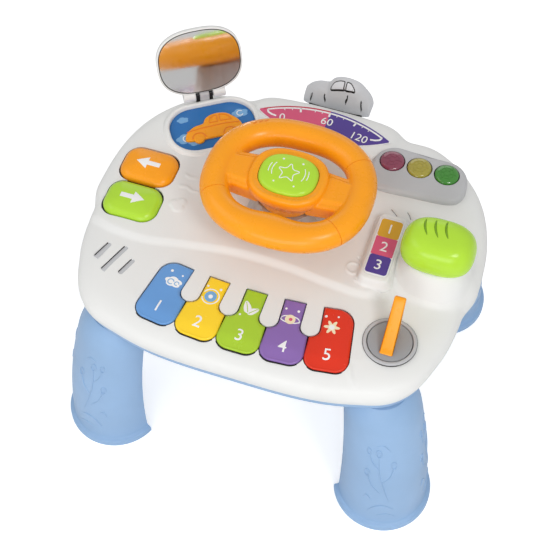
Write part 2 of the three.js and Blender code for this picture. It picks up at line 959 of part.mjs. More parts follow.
function turnButton(y) {
  const loop = turnLoop(y, 0);
  const flangeTop = turnFlangeTop();
  const bottom = flangeTop - turn.flangeHeight;
  const top = level.dash + turn.rise;
  const cap = raised(loop, [
    [0, bottom],
    [0, top - turn.fillet],
    [turn.fillet * 0.35, top - turn.fillet * 0.3],
    [turn.fillet * 1.6, top],
  ]);
  const hollow = raised(loop, [
    [turn.skin, bottom - overrun],
    [turn.fillet, top - turn.skin],
  ]);
  const reach = turn.gap + turn.flange;
  const tab = roundedRect(turn.width + reach, turn.depth - turn.corner, turn.corner / 3, 1,
    turnX() + reach / 2, y);
  const flange = plate(tab, bottom, flangeTop).subtract(plate(inset(loop, turn.skin / 2),
    bottom - overrun, flangeTop + overrun));
  const stem = rod(turn.stemRadius, turnStemBottom(), top - turn.skin / 2, turnX(), y, 8);
  return joined([cap.subtract(hollow), flange, stem]);
}

function turnOpening() {
  const low = turnFlangeTop() - turn.flangeHeight - turn.travel - fit;
  const high = level.dash + overrun;
  return joined([turn.rearY, turn.frontY].map((y) => plate(turnLoop(y, turn.gap), low, high)));
}

const turnBoardHalf = () => turn.width / 2 + turn.flange;
const turnBossPlaces = () => [-1, 1].map((side) => [
  turnX() + side * (turnBoardHalf() + board.bossRadius / 2), (turn.rearY + turn.frontY) / 2]);

function makeTurnButtons() {
  const colours = { left: paint.orange, right: paint.lime };
  for (const [name, y] of Object.entries(turnY)) {
    piece(`turn_button_${name}`, turnButton(y), material(colours[name], 0.35));
    const dome = rubberDome(turn.domeRadius, turn.domeTopRadius, turn.domeHeight, turnX(), y,
      turnBoardTop() + fit);
    piece(`turn_dome_${name}`, dome, material(paint.silicone, 0.7));
  }
  const top = turnBoardTop();
  const reach = turn.rearY - turn.frontY + 4 * turn.domeRadius;
  const middle = (turn.rearY + turn.frontY) / 2;
  const sheet = plate(roundedRect(2 * turnBoardHalf() + 3 * board.bossRadius, reach, board.bossRadius,
    2, turnX(), middle), top - board.thickness, top);
  piece("turn_switch_board", sheet, material(paint.circuit, 0.6));
}

function turnBosses() {
  return turnBossPlaces().map(([x, y]) =>
    rod(board.bossRadius, turnBoardTop() + fit, level.dash - wall / 2, x, y, 6));
}

// Traffic light panel, its lenses and lamp board
const trafficLoop = () => splineLoop(
  trafficShares.map(([x, y]) => at(x * table.halfWidth, y * table.rearDepth)), 18);
const lensX = () => traffic.lensXShare * table.halfWidth;
const lensY = () => traffic.lensYShare * table.rearDepth;
const lensPitch = () => traffic.lensPitchShare * table.halfWidth;
const lensRadius = () => traffic.lensRadiusShare * table.halfWidth;
const lensPlaces = () => [0, 1, 2].map((i) => [lensX() + i * lensPitch(), lensY()]);
const panelSeat = () => level.dash - traffic.seatDepth;
const panelTop = () => level.dash + traffic.rise;
const lensFlangeTop = () => panelTop() - traffic.skin - fit;
const lensStemBottom = () => panelSeat() + fit;
const lampBoardTop = () => lensStemBottom() - 2 * fit - traffic.domeHeight;

function trafficPanel() {
  const loop = trafficLoop();
  const top = panelTop();
  const low = panelSeat() + fit;
  const outer = raised(loop, [
    [0, low],
    [0, top - traffic.fillet],
    [traffic.fillet * 0.35, top - traffic.fillet * 0.35],
    [traffic.fillet * 1.2, top],
  ]);
  const hollow = raised(loop, [
    [traffic.skin, low - overrun],
    [traffic.skin + traffic.fillet / 2, top - traffic.skin],
  ]);
  const holes = lensPlaces().map(([x, y]) =>
    rod(lensRadius() + slip, panelSeat(), top + overrun, x, y, 12));
  const posts = lampBossPlaces().map(([x, y]) =>
    rod(board.bossRadius, lampBoardTop() + fit, top - traffic.skin / 2, x, y, 6));
  return joined([cut(outer, [hollow, ...holes]), ...posts]);
}

const lampBossPlaces = () => [0.5, 1.5].map((step) => [
  lensX() + step * lensPitch(), lensY() - lensRadius() - 2 * board.bossRadius]);

function lens(x, y) {
  const top = panelTop() + traffic.lensRise;
  const flangeTop = lensFlangeTop();
  const radius = lensRadius();
  const flange = radius + traffic.lensFlange;
  const profile = [
    [0, lensStemBottom()],
    [traffic.stemRadius, lensStemBottom()],
    [traffic.stemRadius, flangeTop - wall / 2],
    [flange, flangeTop - wall / 2],
    [flange, flangeTop],
    [radius, flangeTop],
    [radius, top - traffic.lensRise * 0.6],
    [radius * 0.82, top - traffic.lensRise * 0.15],
    [0, top],
  ];
  return shifted(revolved(profile, 12), x, y, 0);
}

function makeTraffic() {
  piece("traffic_panel", trafficPanel(), material(paint.grey, 0.4));
  const names = ["red", "yellow", "green"];
  const colours = [paint.lensRed, paint.lensYellow, paint.lensGreen];
  lensPlaces().forEach(([x, y], i) => {
    piece(`lens_${names[i]}`, lens(x, y), material(colours[i], 0.15, 0, 0.8));
    const dome = rubberDome(traffic.domeRadius, traffic.domeTopRadius, traffic.domeHeight, x, y,
      lampBoardTop() + fit);
    piece(`lens_dome_${names[i]}`, dome, material(paint.silicone, 0.7));
  });
  const length = 2 * lensPitch() + 2 * (traffic.domeRadius + traffic.boardMargin);
  const rear = lensY() + traffic.domeRadius + traffic.boardMargin / 2;
  const front = lampBossPlaces()[0][1] - 1.5 * board.bossRadius;
  const loop = roundedRect(length, rear - front, board.bossRadius, 2,
    lensX() + lensPitch(), (rear + front) / 2);
  const top = lampBoardTop();
  piece("lamp_board", plate(loop, top - board.thickness, top), material(paint.circuit, 0.6));
}

// Ledge of the housing that the panel stands on, the recess over it and the opening inside it
const trafficSocket = () => plate(inset(trafficLoop(), -wall), panelSeat() - wall, level.dash);
const trafficCuts = () => [
  plate(inset(trafficLoop(), -fit), panelSeat(), panelTop()),
  plate(inset(trafficLoop(), traffic.ledge + fit), lampBoardTop() - board.thickness - overrun, level.dash),
];

// Speedometer label: two arcs that meet in points at both ends
function dialLoop(grow) {
  const arc = (crownY, sign) => {
    const sagitta = Math.abs(crownY - dial.tipY);
    const radius = (dial.halfWidth ** 2 + sagitta ** 2) / (2 * sagitta);
    const span = Math.asin(dial.halfWidth / radius);
    return Array.from({ length: 12 }, (_, i) => {
      const angle = sign * (span - (2 * span * i) / 12);
      return at(radius * Math.sin(angle), crownY - sign * (radius - radius * Math.cos(angle)));
    });
  };
  return inset([...arc(dial.rearY, 1), ...arc(dial.frontY, -1)], -grow);
}

function makeDial() {
  const bottom = level.arch - dial.recess + fit / 2;
  piece("dial_label", plate(counterClockwise(dialLoop(0)), bottom, bottom + dial.thickness),
    material(paint.pink, 0.4));
}

const dialRecess = () => plate(counterClockwise(dialLoop(fit)), level.arch - dial.recess,
  level.arch + overrun);

// Picture tray with its raised rim, and the mirror lid hinged behind it
const trayLoop = (grow) => placed(
  roundedRect(tray.length + 2 * grow, tray.depth + 2 * grow, tray.corner + grow, 3),
  tray.x, tray.y, tray.turnDegrees);
const ridgeTop = () => level.dash + tray.ridgeRise;
const trayPanelTop = () => level.dash - tray.panelDrop;

function trayRidge() {
  return raised(trayLoop(tray.ridge), [
    [-tray.ridge / 3, level.dash - wall],
    [0, level.dash],
    [tray.ridge / 3, ridgeTop() - tray.ridgeRise / 5],
    [tray.ridge / 2, ridgeTop()],
  ]);
}

function traySocket() {
  const low = trayPanelTop() - tray.panelThickness - fit;
  return raised(trayLoop(wall), [[0, low - wall], [0, level.dash]]);
}

function trayCuts() {
  const low = trayPanelTop() - tray.panelThickness - fit;
  return [
    plate(trayLoop(0), low, ridgeTop() + overrun),
    plate(trayLoop(-tray.ledge - wall), low - wall - overrun, low + overrun),
  ];
}

const hingeLine = () => {
  const back = tray.depth / 2 + tray.ridge + lid.hingeBack;
  const place = at(0, back).rotateAround(at(0, 0), THREE.MathUtils.degToRad(tray.turnDegrees));
  return new THREE.Vector3(tray.x + place.x, tray.y + place.y, level.dash + lid.hingeRise);
};

// The lid's own frame: hinge along x, the closed lid running forward along -y
const lidClosedGap = () => ridgeTop() + fit - hingeLine().z;

function lidLoop(grow) {
  const centre = -(lid.hingeBack + tray.ridge + tray.depth / 2);
  return superLoop(lid.length / 2 + grow, lid.depth / 2 + grow, lid.power, 18, 0, centre);
}

function lidBody() {
  const low = lidClosedGap();
  const top = low + lid.thickness;
  const shell = raised(lidLoop(0), [
    [lid.fillet / 2, low],
    [0, low + lid.fillet / 2],
    [0, top - lid.fillet],
    [lid.fillet / 2, top - lid.fillet / 4],
    [2 * lid.fillet, top],
  ]);
  const recess = plate(lidLoop(-lid.rim), low - overrun, low + lid.mirrorThickness + fit);
  const reach = -2 * lid.barrel;
  const ears = [-1, 1].map((side) => {
    const x0 = side * (lid.lugWidth / 2 + fit);
    const x1 = x0 + side * lid.earWidth;
    const [a, b] = [Math.min(x0, x1), Math.max(x0, x1)];
    const arm = slab(a, b, reach, 0, low + lid.mirrorThickness + 2 * fit, lid.barrel / 2);
    const barrel = shiftedBarrel(lid.barrel, a, b);
    return arm.add(barrel);
  });
  const bore = shiftedBarrel(lid.pinRadius + fit, -lid.length, lid.length);
  const room = lid.barrel + fit;
  const notch = slab(-lid.lugWidth / 2 - fit, lid.lugWidth / 2 + fit, -room - fit, lid.depth, low - overrun,
    top + overrun);
  return cut(joined([shell.subtract(recess), ...ears]), [bore, notch]);
}

function shiftedBarrel(radius, x0, x1) {
  const geometry = new THREE.CylinderGeometry(radius, radius, x1 - x0, 8);
  return solid(geometry.rotateZ(halfTurn / 2).translate((x0 + x1) / 2, 0, 0));
}

function makeLid() {
  const frame = new THREE.Group();
  frame.position.copy(hingeLine());
  frame.rotation.z = THREE.MathUtils.degToRad(tray.turnDegrees);
  const swing = new THREE.Group();
  swing.rotation.x = -THREE.MathUtils.degToRad(lid.openDegrees);
  frame.add(swing);
  model.add(frame);
  piece("mirror_lid", lidBody(), material(paint.white, 0.4), swing);
  const low = lidClosedGap() + lid.mirrorThickness / 4;
  piece("mirror_plate", plate(lidLoop(-lid.rim - fit), low, low + lid.mirrorThickness * 0.75),
    material(paint.mirror, 0.05, 1), swing);
  const half = lid.lugWidth / 2 + fit + lid.earWidth;
  piece("lid_hinge_pin", shiftedBarrel(lid.pinRadius, -half, half), material(paint.steel, 0.3, 1), swing);
}

// Hinge lug of the housing, between the lid's two ears
function hingeLug() {
  const hinge = hingeLine();
  const matrix = new THREE.Matrix4().makeTranslation(hinge.x, hinge.y, hinge.z)
    .multiply(new THREE.Matrix4().makeRotationZ(THREE.MathUtils.degToRad(tray.turnDegrees)));
  const half = lid.lugWidth / 2;
  const foot = level.deck - wall - hinge.z;
  const post = slab(-half, half, -lid.barrel, lid.barrel, foot, 0);
  const barrel = shiftedBarrel(lid.barrel, -half, half);
  const bore = shiftedBarrel(lid.pinRadius + fit, -lid.length, lid.length);
  return moved(cut(post.add(barrel), [bore]), matrix);
}

// Generic car outline for the relief and the toy, from shares of a length and a height
function carLoop(length, height) {
  const points = carBodyShares.map(([x, z]) => at(x * length, z * height));
  return counterClockwise(points);
}

function makeTray() {
  const top = trayPanelTop();
  const panel = plate(trayLoop(-fit), top - tray.panelThickness, top);
  piece("picture_panel", panel, material(paint.deepBlue, 0.4));
  const body = carLoop(tray.carLength, tray.carHeight).map((p) => at(p.x, p.y - tray.carHeight / 2));
  const loop = placed(body, tray.x, tray.y, tray.turnDegrees);
  const low = top + fit;
  const relief = raised(loop, [
    [0, low],
    [0, low + tray.carRise - tray.carBevel],
    [tray.carBevel, low + tray.carRise],
  ]);
  piece("relief_car", relief, material(paint.orange, 0.35));
}

// Steering wheel: a soft-cornered rim, two spokes and a hub with a recess for the horn
function rimBody() {
  const rings = [];
  for (let i = 0; i < wheel.facets; i++) {
    const angle = (fullTurn * i) / wheel.facets;
    const c = Math.cos(angle);
    const s = Math.sin(angle);
    const reach = superReach(wheel.halfWidth, wheel.halfDepth, wheel.power, c, s);
    const bulge = s < 0 ? wheel.gripBulge * Math.exp(-((reach * c / wheel.gripSpan) ** 2)) : 0;
    const half = wheel.tube + bulge / 2;
    const centre = reach - bulge / 2;
    rings.push(Array.from({ length: wheel.tubeFacets }, (_, k) => {
      const turnBy = (fullTurn * k) / wheel.tubeFacets;
      const out = centre + half * Math.cos(turnBy);
      return new THREE.Vector3(out * c, out * s, wheel.tube * Math.sin(turnBy));
    }));
  }
  const count = wheel.tubeFacets;
  const faces = [];
  for (let i = 0; i < rings.length; i++) {
    const next = (i + 1) % rings.length;
    for (let k = 0; k < count; k++) {
      const m = (k + 1) % count;
      faces.push(i * count + k, next * count + k, next * count + m);
      faces.push(i * count + k, next * count + m, i * count + m);
    }
  }
  return solidOfFaces(rings.flat(), faces);
}

function spokeBody(side) {
  const inner = wheel.hubHalfWidth - wheel.tube;
  const outer = wheel.halfWidth - wheel.tube / 4;
  const root = wheel.spokeRootWidth / 2;
  const end = wheel.spokeWidth / 2;
  const loop = [at(inner, -root), at(outer, -end), at(outer, end), at(inner, root)];
  const turned = counterClockwise(loop.map((p) => at(side * p.x, p.y)));
  const top = wheel.tube - wheel.spokeTop;
  return raised(turned, [
    [wheel.spokeFillet, top - wheel.spokeDepth],
    [0, top - wheel.spokeDepth + wheel.spokeFillet],
    [0, top - wheel.spokeFillet],
    [wheel.spokeFillet, top],
  ]);
}

function hubBody() {
  const loop = superLoop(wheel.hubHalfWidth, wheel.hubHalfDepth, horn.power, 20);
  const top = hubTop() - wheelCentre();
  const bottom = top - wheel.hubDepth;
  const foot = circle(wheel.hubFootRadius, 20);
  return lofted([
    lift(foot, bottom),
    lift(inset(loop, wheel.hubFillet), top - wheel.hubDepth / 2),
    lift(loop, top - wheel.hubDepth / 3),
    lift(loop, top - wheel.hubFillet),
    lift(inset(loop, wheel.hubFillet / 3), top - wheel.hubFillet / 3),
    lift(inset(loop, wheel.hubFillet), top),
  ]);
}

function makeSteering() {
  const frame = new THREE.Group();
  frame.position.set(0, wheel.y, wheelCentre());
  model.add(frame);
  const top = hubTop() - wheelCentre();
  const bottom = top - wheel.hubDepth;
  const recess = plate(superLoop(horn.halfWidth + slip, horn.halfDepth + slip, horn.power, 20),
    top - horn.recess, top + overrun);
  const socket = rod(shaft.radius + fit, bottom - overrun, bottom + shaft.socketDepth + fit, 0, 0,
    shaft.sides);
  const body = joined([rimBody(), spokeBody(-1), spokeBody(1), hubBody()]);
  piece("steering_wheel", cut(body, [recess, socket]), material(paint.orange, 0.4), frame);
  const floor = top - horn.recess;
  const padBottom = floor + fit + horn.travel + 1.5 * fit;
  const pad = raised(superLoop(horn.halfWidth, horn.halfDepth, horn.power, 20), [
    [0, padBottom],
    [0, top + horn.rise * 0.3],
    [horn.crown, top + horn.rise * 0.75],
    [3.5 * horn.crown, top + horn.rise],
  ]);
  piece("horn_button", pad, material(paint.lime, 0.35), frame);
  const domeHeight = padBottom - floor - 2 * fit;
  const dome = rubberDome(horn.domeRadius, horn.domeTopRadius, domeHeight, 0, 0, floor + fit);
  piece("horn_dome", dome, material(paint.silicone, 0.7), frame);
  const low = crankTop() - crank.thickness - wheelCentre();
  const rodBody = rod(shaft.radius, low, bottom + shaft.socketDepth, 0, 0, shaft.sides);
  piece("steering_shaft", rodBody, material(paint.white, 0.5), frame);
  makeCrank(frame);
}

// Crank disc under the shaft, whose pin drives the swing lever
const leverBottom = () => level.floor + lever.liftOverFloor;
const leverTop = () => leverBottom() + lever.thickness;
const crankTop = () => leverTop() + crank.runningGap + crank.thickness;

function makeCrank(frame) {
  const base = wheelCentre();
  const bottom = crankTop() - crank.thickness - base;
  const top = crankTop() - base;
  const disc = rod(crank.radius, bottom, top, 0, 0, 16);
  const hub = rod(crank.hubRadius, bottom, tubeBottom() - fit - base, 0, 0, 12);
  const pin = rod(crank.pinRadius, bottom - crank.pinLength, bottom + overrun / 2, 0, crank.offset, 8);
  const bore = rod(shaft.radius + fit, bottom - overrun, base, 0, 0, shaft.sides);
  piece("crank_disc", joined([disc, hub, pin]).subtract(bore), material(paint.grey, 0.5), frame);
}

// Swing lever: pivots on the floor, follows the crank pin and carries the toy car outside
const carRadius = () => table.rearDepth + rearReach + lever.carGap + car.thickness / 2;

function leverBody() {
  const pin = wheel.y + crank.offset - lever.pivotY;
  const end = carRadius() + car.thickness / 4;
  const half = lever.halfWidth;
  const wide = crank.pinRadius + slip + half;
  const loop = [
    at(-half, 0), at(-half * 0.7, -half * 0.7), at(0, -half), at(half * 0.7, -half * 0.7), at(half, 0),
    at(wide, pin - 2 * half), at(wide, pin + 1.5 * half), at(half, pin + 4 * half), at(half, end),
    at(-half, end), at(-half, pin + 4 * half), at(-wide, pin + 1.5 * half), at(-wide, pin - 2 * half),
  ];
  const arm = plate(loop, leverBottom(), leverTop());
  const eye = rod(lever.postRadius + slip, leverBottom() - overrun, leverTop() + overrun, 0, 0, 16);
  const slotHalf = crank.pinRadius + slip;
  const slotLength = 2 * slotHalf + crank.offset * lever.slotLengthShare;
  const slot = roundedRect(2 * slotHalf, slotLength, slotHalf, 2, 0,
    pin - crank.offset * lever.slotCentreShare);
  const post = slab(-lever.carPost, lever.carPost, carRadius() - lever.carPost, carRadius() + lever.carPost,
    leverBottom(), carFloor() + car.hollow - fit);
  return cut(arm, [eye, plate(slot, leverBottom() - overrun, leverTop() + overrun)]).add(post);
}

const carFloor = () => level.skirt + car.liftOverSkirt;

function makeSwing() {
  const frame = new THREE.Group();
  frame.position.set(0, lever.pivotY, 0);
  model.add(frame);
  piece("swing_lever", leverBody(), material(paint.grey, 0.5), frame);
  piece("toy_car", carBody(), material(paint.grey, 0.4), frame);
  const low = leverTop() + fit;
  const stem = rod(lever.postRadius / 3, low - 2 * lever.thickness, low + lever.headHeight / 2, 0, 0, 6);
  const head = rod(lever.headRadius, low, low + lever.headHeight, 0, 0, 14);
  piece("lever_pivot_screw", stem.add(head), material(paint.steel, 0.35, 1), frame);
}

// Toy car: a bevelled side view with windows, wheel arches and tyres on the child's side
function carBody() {
  const upright = (body) => moved(body, new THREE.Matrix4().makeRotationX(halfTurn / 2));
  const outline = new THREE.CatmullRomCurve3(
    carBodyShares.map(([x, z]) => new THREE.Vector3(x * car.length, z * car.height, 0)), false);
  const loop = counterClockwise(outline.getPoints(14).map((p) => at(p.x, p.y)));
  const half = car.thickness / 2;
  const shell = upright(raised(loop, [
    [car.bevel, -half], [0, -half + car.bevel], [0, half - car.bevel], [car.bevel, half],
  ]));
  const windows = carWindowShares.flatMap((pane) => {
    const paneLoop = counterClockwise(pane.map(([x, z]) => at(x * car.length, z * car.height)));
    return [-1, 1].map((side) => {
      const a = side * (half - car.windowDepth);
      const b = side * (half + overrun);
      return upright(plate(paneLoop, Math.min(a, b), Math.max(a, b)));
    });
  });
  const fenders = carFenderShares.map((x) => {
    const arch = circle(car.fenderRadius, 12, x * car.length, car.tyreRadius);
    return upright(raised(arch, [
      [car.fenderProud, -half - car.fenderProud], [0, -half], [0, half],
      [car.fenderProud, half + car.fenderProud],
    ]));
  });
  const flat = slab(-car.length, car.length, -2 * half, 2 * half, -2 * car.height, 0);
  const post = lever.carPost + fit;
  const socket = slab(-post, post, -post, post, -overrun, car.hollow);
  const body = cut(joined([shell, ...fenders]), [...windows, flat, socket]);
  return shifted(body, 0, carRadius(), carFloor());
}

// Gear knob, its slider and the label strip
const pedestalTop = () => level.dash + shifter.pedestalHeight;

function makeShifter() {
  const frame = new THREE.Group();
  frame.position.set(shifter.x, shifter.y, 0);
  model.add(frame);
  const base = pedestalTop() + 2 * fit;
  const loop = superLoop(shifter.knobHalfWidth, shifter.knobHalfDepth, shifter.knobPower, 20);
  const steps = knobShares.map(([run, up]) => [
    run * shifter.knobHalfDepth, base + up * shifter.knobHeight]);
  const grooves = [-1, 0, 1].map((i) => knobGroove(i, base));
  const top = base + shifter.knobHeight / 2;
  const socket = stemBlock(fit, base - overrun, top + fit);
  piece("shift_knob", cut(raised(loop, steps), [...grooves, socket]), material(paint.lime, 0.35), frame);
  const shoeTop = pedestalTop() - wall - fit;
  const shoe = plate(roundedRect(2 * (shifter.slotHalfWidth + shifter.shoeMargin),
    2 * (shifter.stemHalfDepth + shifter.shoeMargin), shifter.shoeMargin / 2, 3),
  shoeTop - shifter.shoeThickness, shoeTop);
  const stem = stemBlock(0, shoeTop - shifter.shoeThickness, top);
  piece("shift_slider", stem.add(shoe), material(paint.white, 0.5), frame);
  const low = level.dash + island.rise - island.recess + fit / 2;
  piece("gear_label", plate(labelLoop(0), low, low + island.labelThickness), material(paint.violet, 0.4));
}

function stemBlock(grow, bottom, top) {
  const halfX = shifter.stemHalfWidth + grow;
  const halfY = shifter.stemHalfDepth + grow;
  return slab(-halfX, halfX, -halfY, halfY, bottom, top);
}

const labelLoop = (grow) => roundedRect(2 * (island.labelHalfWidth + grow),
  2 * (island.labelHalfDepth + grow), island.labelCorner + grow, 3, island.x, 0);

function knobGroove(index, base) {
  const x = index * shifter.groovePitch - shifter.groovePitch / 4;
  const rear = shifter.knobHalfDepth;
  const half = shifter.grooveWidth / 2;
  const top = base + shifter.knobHeight;
  const bar = slab(x - half, x + half, rear * 0.1, rear * 1.2, top - shifter.grooveDepth, top + overrun);
  const slope = shifter.knobHeight * 0.3;
  const points = [
    at(rear * 0.1, top - shifter.grooveDepth), at(rear * 0.45, top - shifter.grooveDepth * 1.6),
    at(rear * 0.85, top - slope), at(rear * 0.85, top + overrun), at(rear * 0.1, top + overrun),
  ];
  const profile = plate(counterClockwise(points), -half, half);
  const swing = new THREE.Matrix4().makeBasis(
    new THREE.Vector3(0, 1, 0), new THREE.Vector3(0, 0, 1), new THREE.Vector3(1, 0, 0));
  return shifted(moved(profile, swing), x, 0, 0).intersect(bar.add(slab(x - half, x + half, rear * 0.1,
    rear * 1.2, top - slope, top + overrun)));
}

function shifterCuts() {
  const halfX = shifter.slotHalfWidth;
  const halfY = shifter.stemHalfDepth + shifter.travel + halfX / 2;
  const slot = roundedRect(2 * halfX, 2 * halfY, halfX / 2, 2, shifter.x, shifter.y);
  return [
    plate(slot, pedestalTop() - 2 * wall, pedestalTop() + overrun),
    plate(labelLoop(fit), level.dash + island.rise - island.recess, level.dash + island.rise + overrun),
  ];
}

// Ignition switch: a fixed ring, a turning disc and the key that stands in it
const ringBottom = () => level.deck - ignition.recess + fit;
const ringTop = () => ringBottom() + ignition.recess + ignition.ringRise;
const discTop = () => ringTop() - fit;

function makeIgnition() {
  const frame = new THREE.Group();
  frame.position.set(ignition.x, ignition.y, 0);
  model.add(frame);
  const tube = ignition.discRadius + slip + ignition.tubeWall;
  const floor = level.deck - ignition.tubeLength;
  const bore = ignition.discRadius + slip;
  const stemHole = ignition.stemRadius + slip;
  const ring = revolved([
    [stemHole, floor], [tube, floor], [tube, ringBottom()], [ignition.ringRadius, ringBottom()],
    [ignition.ringRadius, ringTop() - ignition.ringRise / 3],
    [ignition.ringRadius - ignition.ringRise / 2, ringTop()], [bore, ringTop()],
    [bore, floor + ignition.tubeWall], [stemHole, floor + ignition.tubeWall], [stemHole, floor],
  ], 16);
  piece("ignition_ring", ring, material(paint.grey, 0.35), frame);
  const low = discTop() - ignition.discThickness;
  const disc = revolved([
    [0, floor - ignition.tubeWall], [ignition.stemRadius, floor - ignition.tubeWall],
    [ignition.stemRadius, floor + ignition.tubeWall + fit],
    [ignition.stemRadius * 1.5, floor + ignition.tubeWall + fit],
    [ignition.stemRadius * 1.5, low], [ignition.discRadius, low], [ignition.discRadius, discTop()],
    [0, discTop()],
  ], 16);
  const tenon = keyTenon(fit, discTop() - ignition.slotDepth - fit, discTop() + overrun);
  piece("ignition_rotor", disc.subtract(tenon), material(paint.grey, 0.35), frame);
  piece("ignition_key", keyPlate(), material(paint.orange, 0.35), frame);
}

function keyTenon(grow, bottom, top) {
  const half = ignition.keyThickness / 2 - ignition.tenonInset + grow;
  const front = ignitionKey.front + ignition.tenonInset - grow;
  const back = ignitionKey.back - ignition.tenonInset + grow;
  return slab(-half, half, front, back, bottom, top);
}

function keyPlate() {
  const { front, back, tipBack, tipRound, tipHeight, waist } = ignitionKey;
  const low = discTop() + fit;
  const half = ignition.keyThickness / 2;
  const points = [
    at(front, 0), at(back, 0), at(back + tipRound / 2, waist),
    at(tipBack + tipRound / 2, tipHeight - 2 * tipRound),
    at(tipBack + tipRound / 2, tipHeight - tipRound / 2), at(tipBack - tipRound / 4, tipHeight),
    at(front + tipRound / 2, tipRound / 2),
  ];
  const upright = new THREE.Matrix4().makeBasis(
    new THREE.Vector3(0, 1, 0), new THREE.Vector3(0, 0, 1), new THREE.Vector3(1, 0, 0));
  const blade = shifted(moved(plate(counterClockwise(points), -half, half), upright), 0, 0, low);
  return blade.add(keyTenon(0, discTop() - ignition.slotDepth, low + overrun / 4));
}

function ignitionCuts() {
  const bore = ignition.discRadius + slip + ignition.tubeWall + 2 * fit;
  const recess = ignition.ringRadius + fit;
  return [
    rod(bore, level.deck - ignition.tubeLength, level.deck + overrun, ignition.x, ignition.y, 16),
    rod(recess, level.deck - ignition.recess, level.deck + overrun, ignition.x, ignition.y, 16),
  ];
}

// Speaker under three slanted slots
const speakerX = () => speaker.sideInset - table.halfWidth;
const speakerY = () => speaker.frontInset - table.frontDepth;

function speakerSlots() {
  return [-1, 0, 1].map((i) => {
    const length = i === 0 ? speaker.longSlot : speaker.shortSlot;
    const loop = roundedRect(length, speaker.slotWidth, speaker.slotWidth / 2.5, 1, 0,
      -i * speaker.slotPitch);
    return plate(placed(loop, speakerX(), speakerY(), speaker.slotTurnDegrees), level.deck - 6 * wall,
      level.deck + overrun);
  });
}

// Underside of the deck near its edge, where the speaker hangs
const speakerTop = () => level.deck - 3.4 * wall;

function speakerRing() {
  const outer = speaker.radius + fit + speaker.ringWall;
  const inner = speaker.radius + fit;
  const top = level.deck - wall / 2;
  const low = speakerTop() - speaker.ringDepth;
  const ring = revolved([[inner, low], [outer, low], [outer, top], [inner, top], [inner, low]], 12);
  return shifted(ring, speakerX(), speakerY(), 0);
}

function makeSpeaker() {
  const top = speakerTop();
  const body = revolved([
    [0, top - speaker.coneDepth - speaker.magnetDepth],
    [speaker.magnetRadius, top - speaker.coneDepth - speaker.magnetDepth],
    [speaker.magnetRadius, top - speaker.coneDepth],
    [speaker.radius, top - speaker.frameEdge],
    [speaker.radius, top],
    [speaker.radius * 0.85, top],
    [speaker.magnetRadius, top - speaker.coneDepth / 2],
    [0, top - speaker.coneDepth / 3],
  ], 12);
  piece("speaker", shifted(body, speakerX(), speakerY(), 0), material(paint.black, 0.6));
}

// Screw towers of the housing
const screwFrontX = table.halfWidth - screw.frontSideInset;
const screwRearY = table.rearDepth - screw.rearInset;
const screwPlaces = [
  [-screwFrontX, screw.frontY], [screwFrontX, screw.frontY],
  [-screw.rearX, screwRearY], [screw.rearX, screwRearY],
];
const towerBottom = () => level.underside + screw.towerStart + fit;

function screwTowers() {
  return screwPlaces.map(([x, y]) => rod(screw.towerRadius, towerBottom(), level.dash, x, y, 6));
}

function screwPilots() {
  return screwPlaces.map(([x, y]) =>
    rod(screw.shankRadius + fit, towerBottom() - overrun, towerBottom() + screw.grip, x, y, 6));
}

function makeScrews() {
  screwPlaces.forEach(([x, y], i) => {
    const head = level.underside + screw.headDepth - screw.headHeight - fit;
    const tip = towerBottom() + screw.grip - fit;
    const shank = rod(screw.shankRadius, head + screw.headHeight / 2, tip, x, y, 6);
    const cap = rod(screw.headRadius, head, head + screw.headHeight, x, y, 8);
    piece(`housing_screw_${i + 1}`, cap.add(shank), material(paint.steel, 0.35, 1));
  });
}

// White upper half of the housing
function makeTopShell() {
  const shell = deckForm().subtract(hollowForm(wall));
  const trim = hollowForm(wall / 2);
  const boltOn = joined([
    ...screwTowers(), ...carrierBosses(), ...turnBosses(), speakerRing(), traySocket(), trafficSocket(),
  ]).intersect(trim);
  let body = joined([shell, columnForm(), trayRidge(), hingeLug(), boltOn]);
  const borehole = rod(shaft.radius + slip, tubeBottom() - overrun, columnTop() + overrun, 0, wheel.y,
    shaft.sides);
  body = body.subtract(columnHollow()).add(bearingTube());
  body = cut(body, [
    borehole, keyOpening(), turnOpening(), ...trafficCuts(), dialRecess(), ...trayCuts(),
    ...shifterCuts(), ...ignitionCuts(), ...speakerSlots(), ...screwPilots(),
  ]);
  piece("top_shell", body, material(paint.white, 0.4));
}

// Blue lower half of the housing, with the battery box and the leg sockets
const batteryY = () => battery.frontInset - table.frontDepth;
const boxHalfX = () => battery.cellLength / 2 + battery.contactRoom;
const boxHalfY = () => (battery.cells * battery.pitch) / 2;
const cellBottom = () => level.floor + fit;
const boxTop = () => cellBottom() + 2 * battery.cellRadius + fit;

function legCorners() {
  return [["front_left", -1, -1], ["front_right", 1, -1], ["rear_left", -1, 1], ["rear_right", 1, 1]];
}

const legFootX = () => table.halfWidth - leg.sideInset;
const legFootY = (side) => (side < 0 ? table.frontDepth - leg.frontInset : table.rearDepth - leg.rearInset);
const legTopX = () => legFootX() - leg.leanX;
const legTopY = (side) => legFootY(side) - leg.leanY;

function baseForm(shrink) {
  const steps = baseEdgeShares.map(([run, up]) => [
    run * table.edgeRun + shrink, level.underside + up * table.baseDepth + shrink]);
  if (shrink > 0) steps.at(-1)[1] = level.seam + overrun;
  return raised(tableLoop(), steps);
}

function batteryBox() {
  const grow = battery.boxWall;
  return slab(-boxHalfX() - grow, boxHalfX() + grow, batteryY() - boxHalfY() - grow,
    batteryY() + boxHalfY() + grow, level.underside, boxTop() + grow);
}

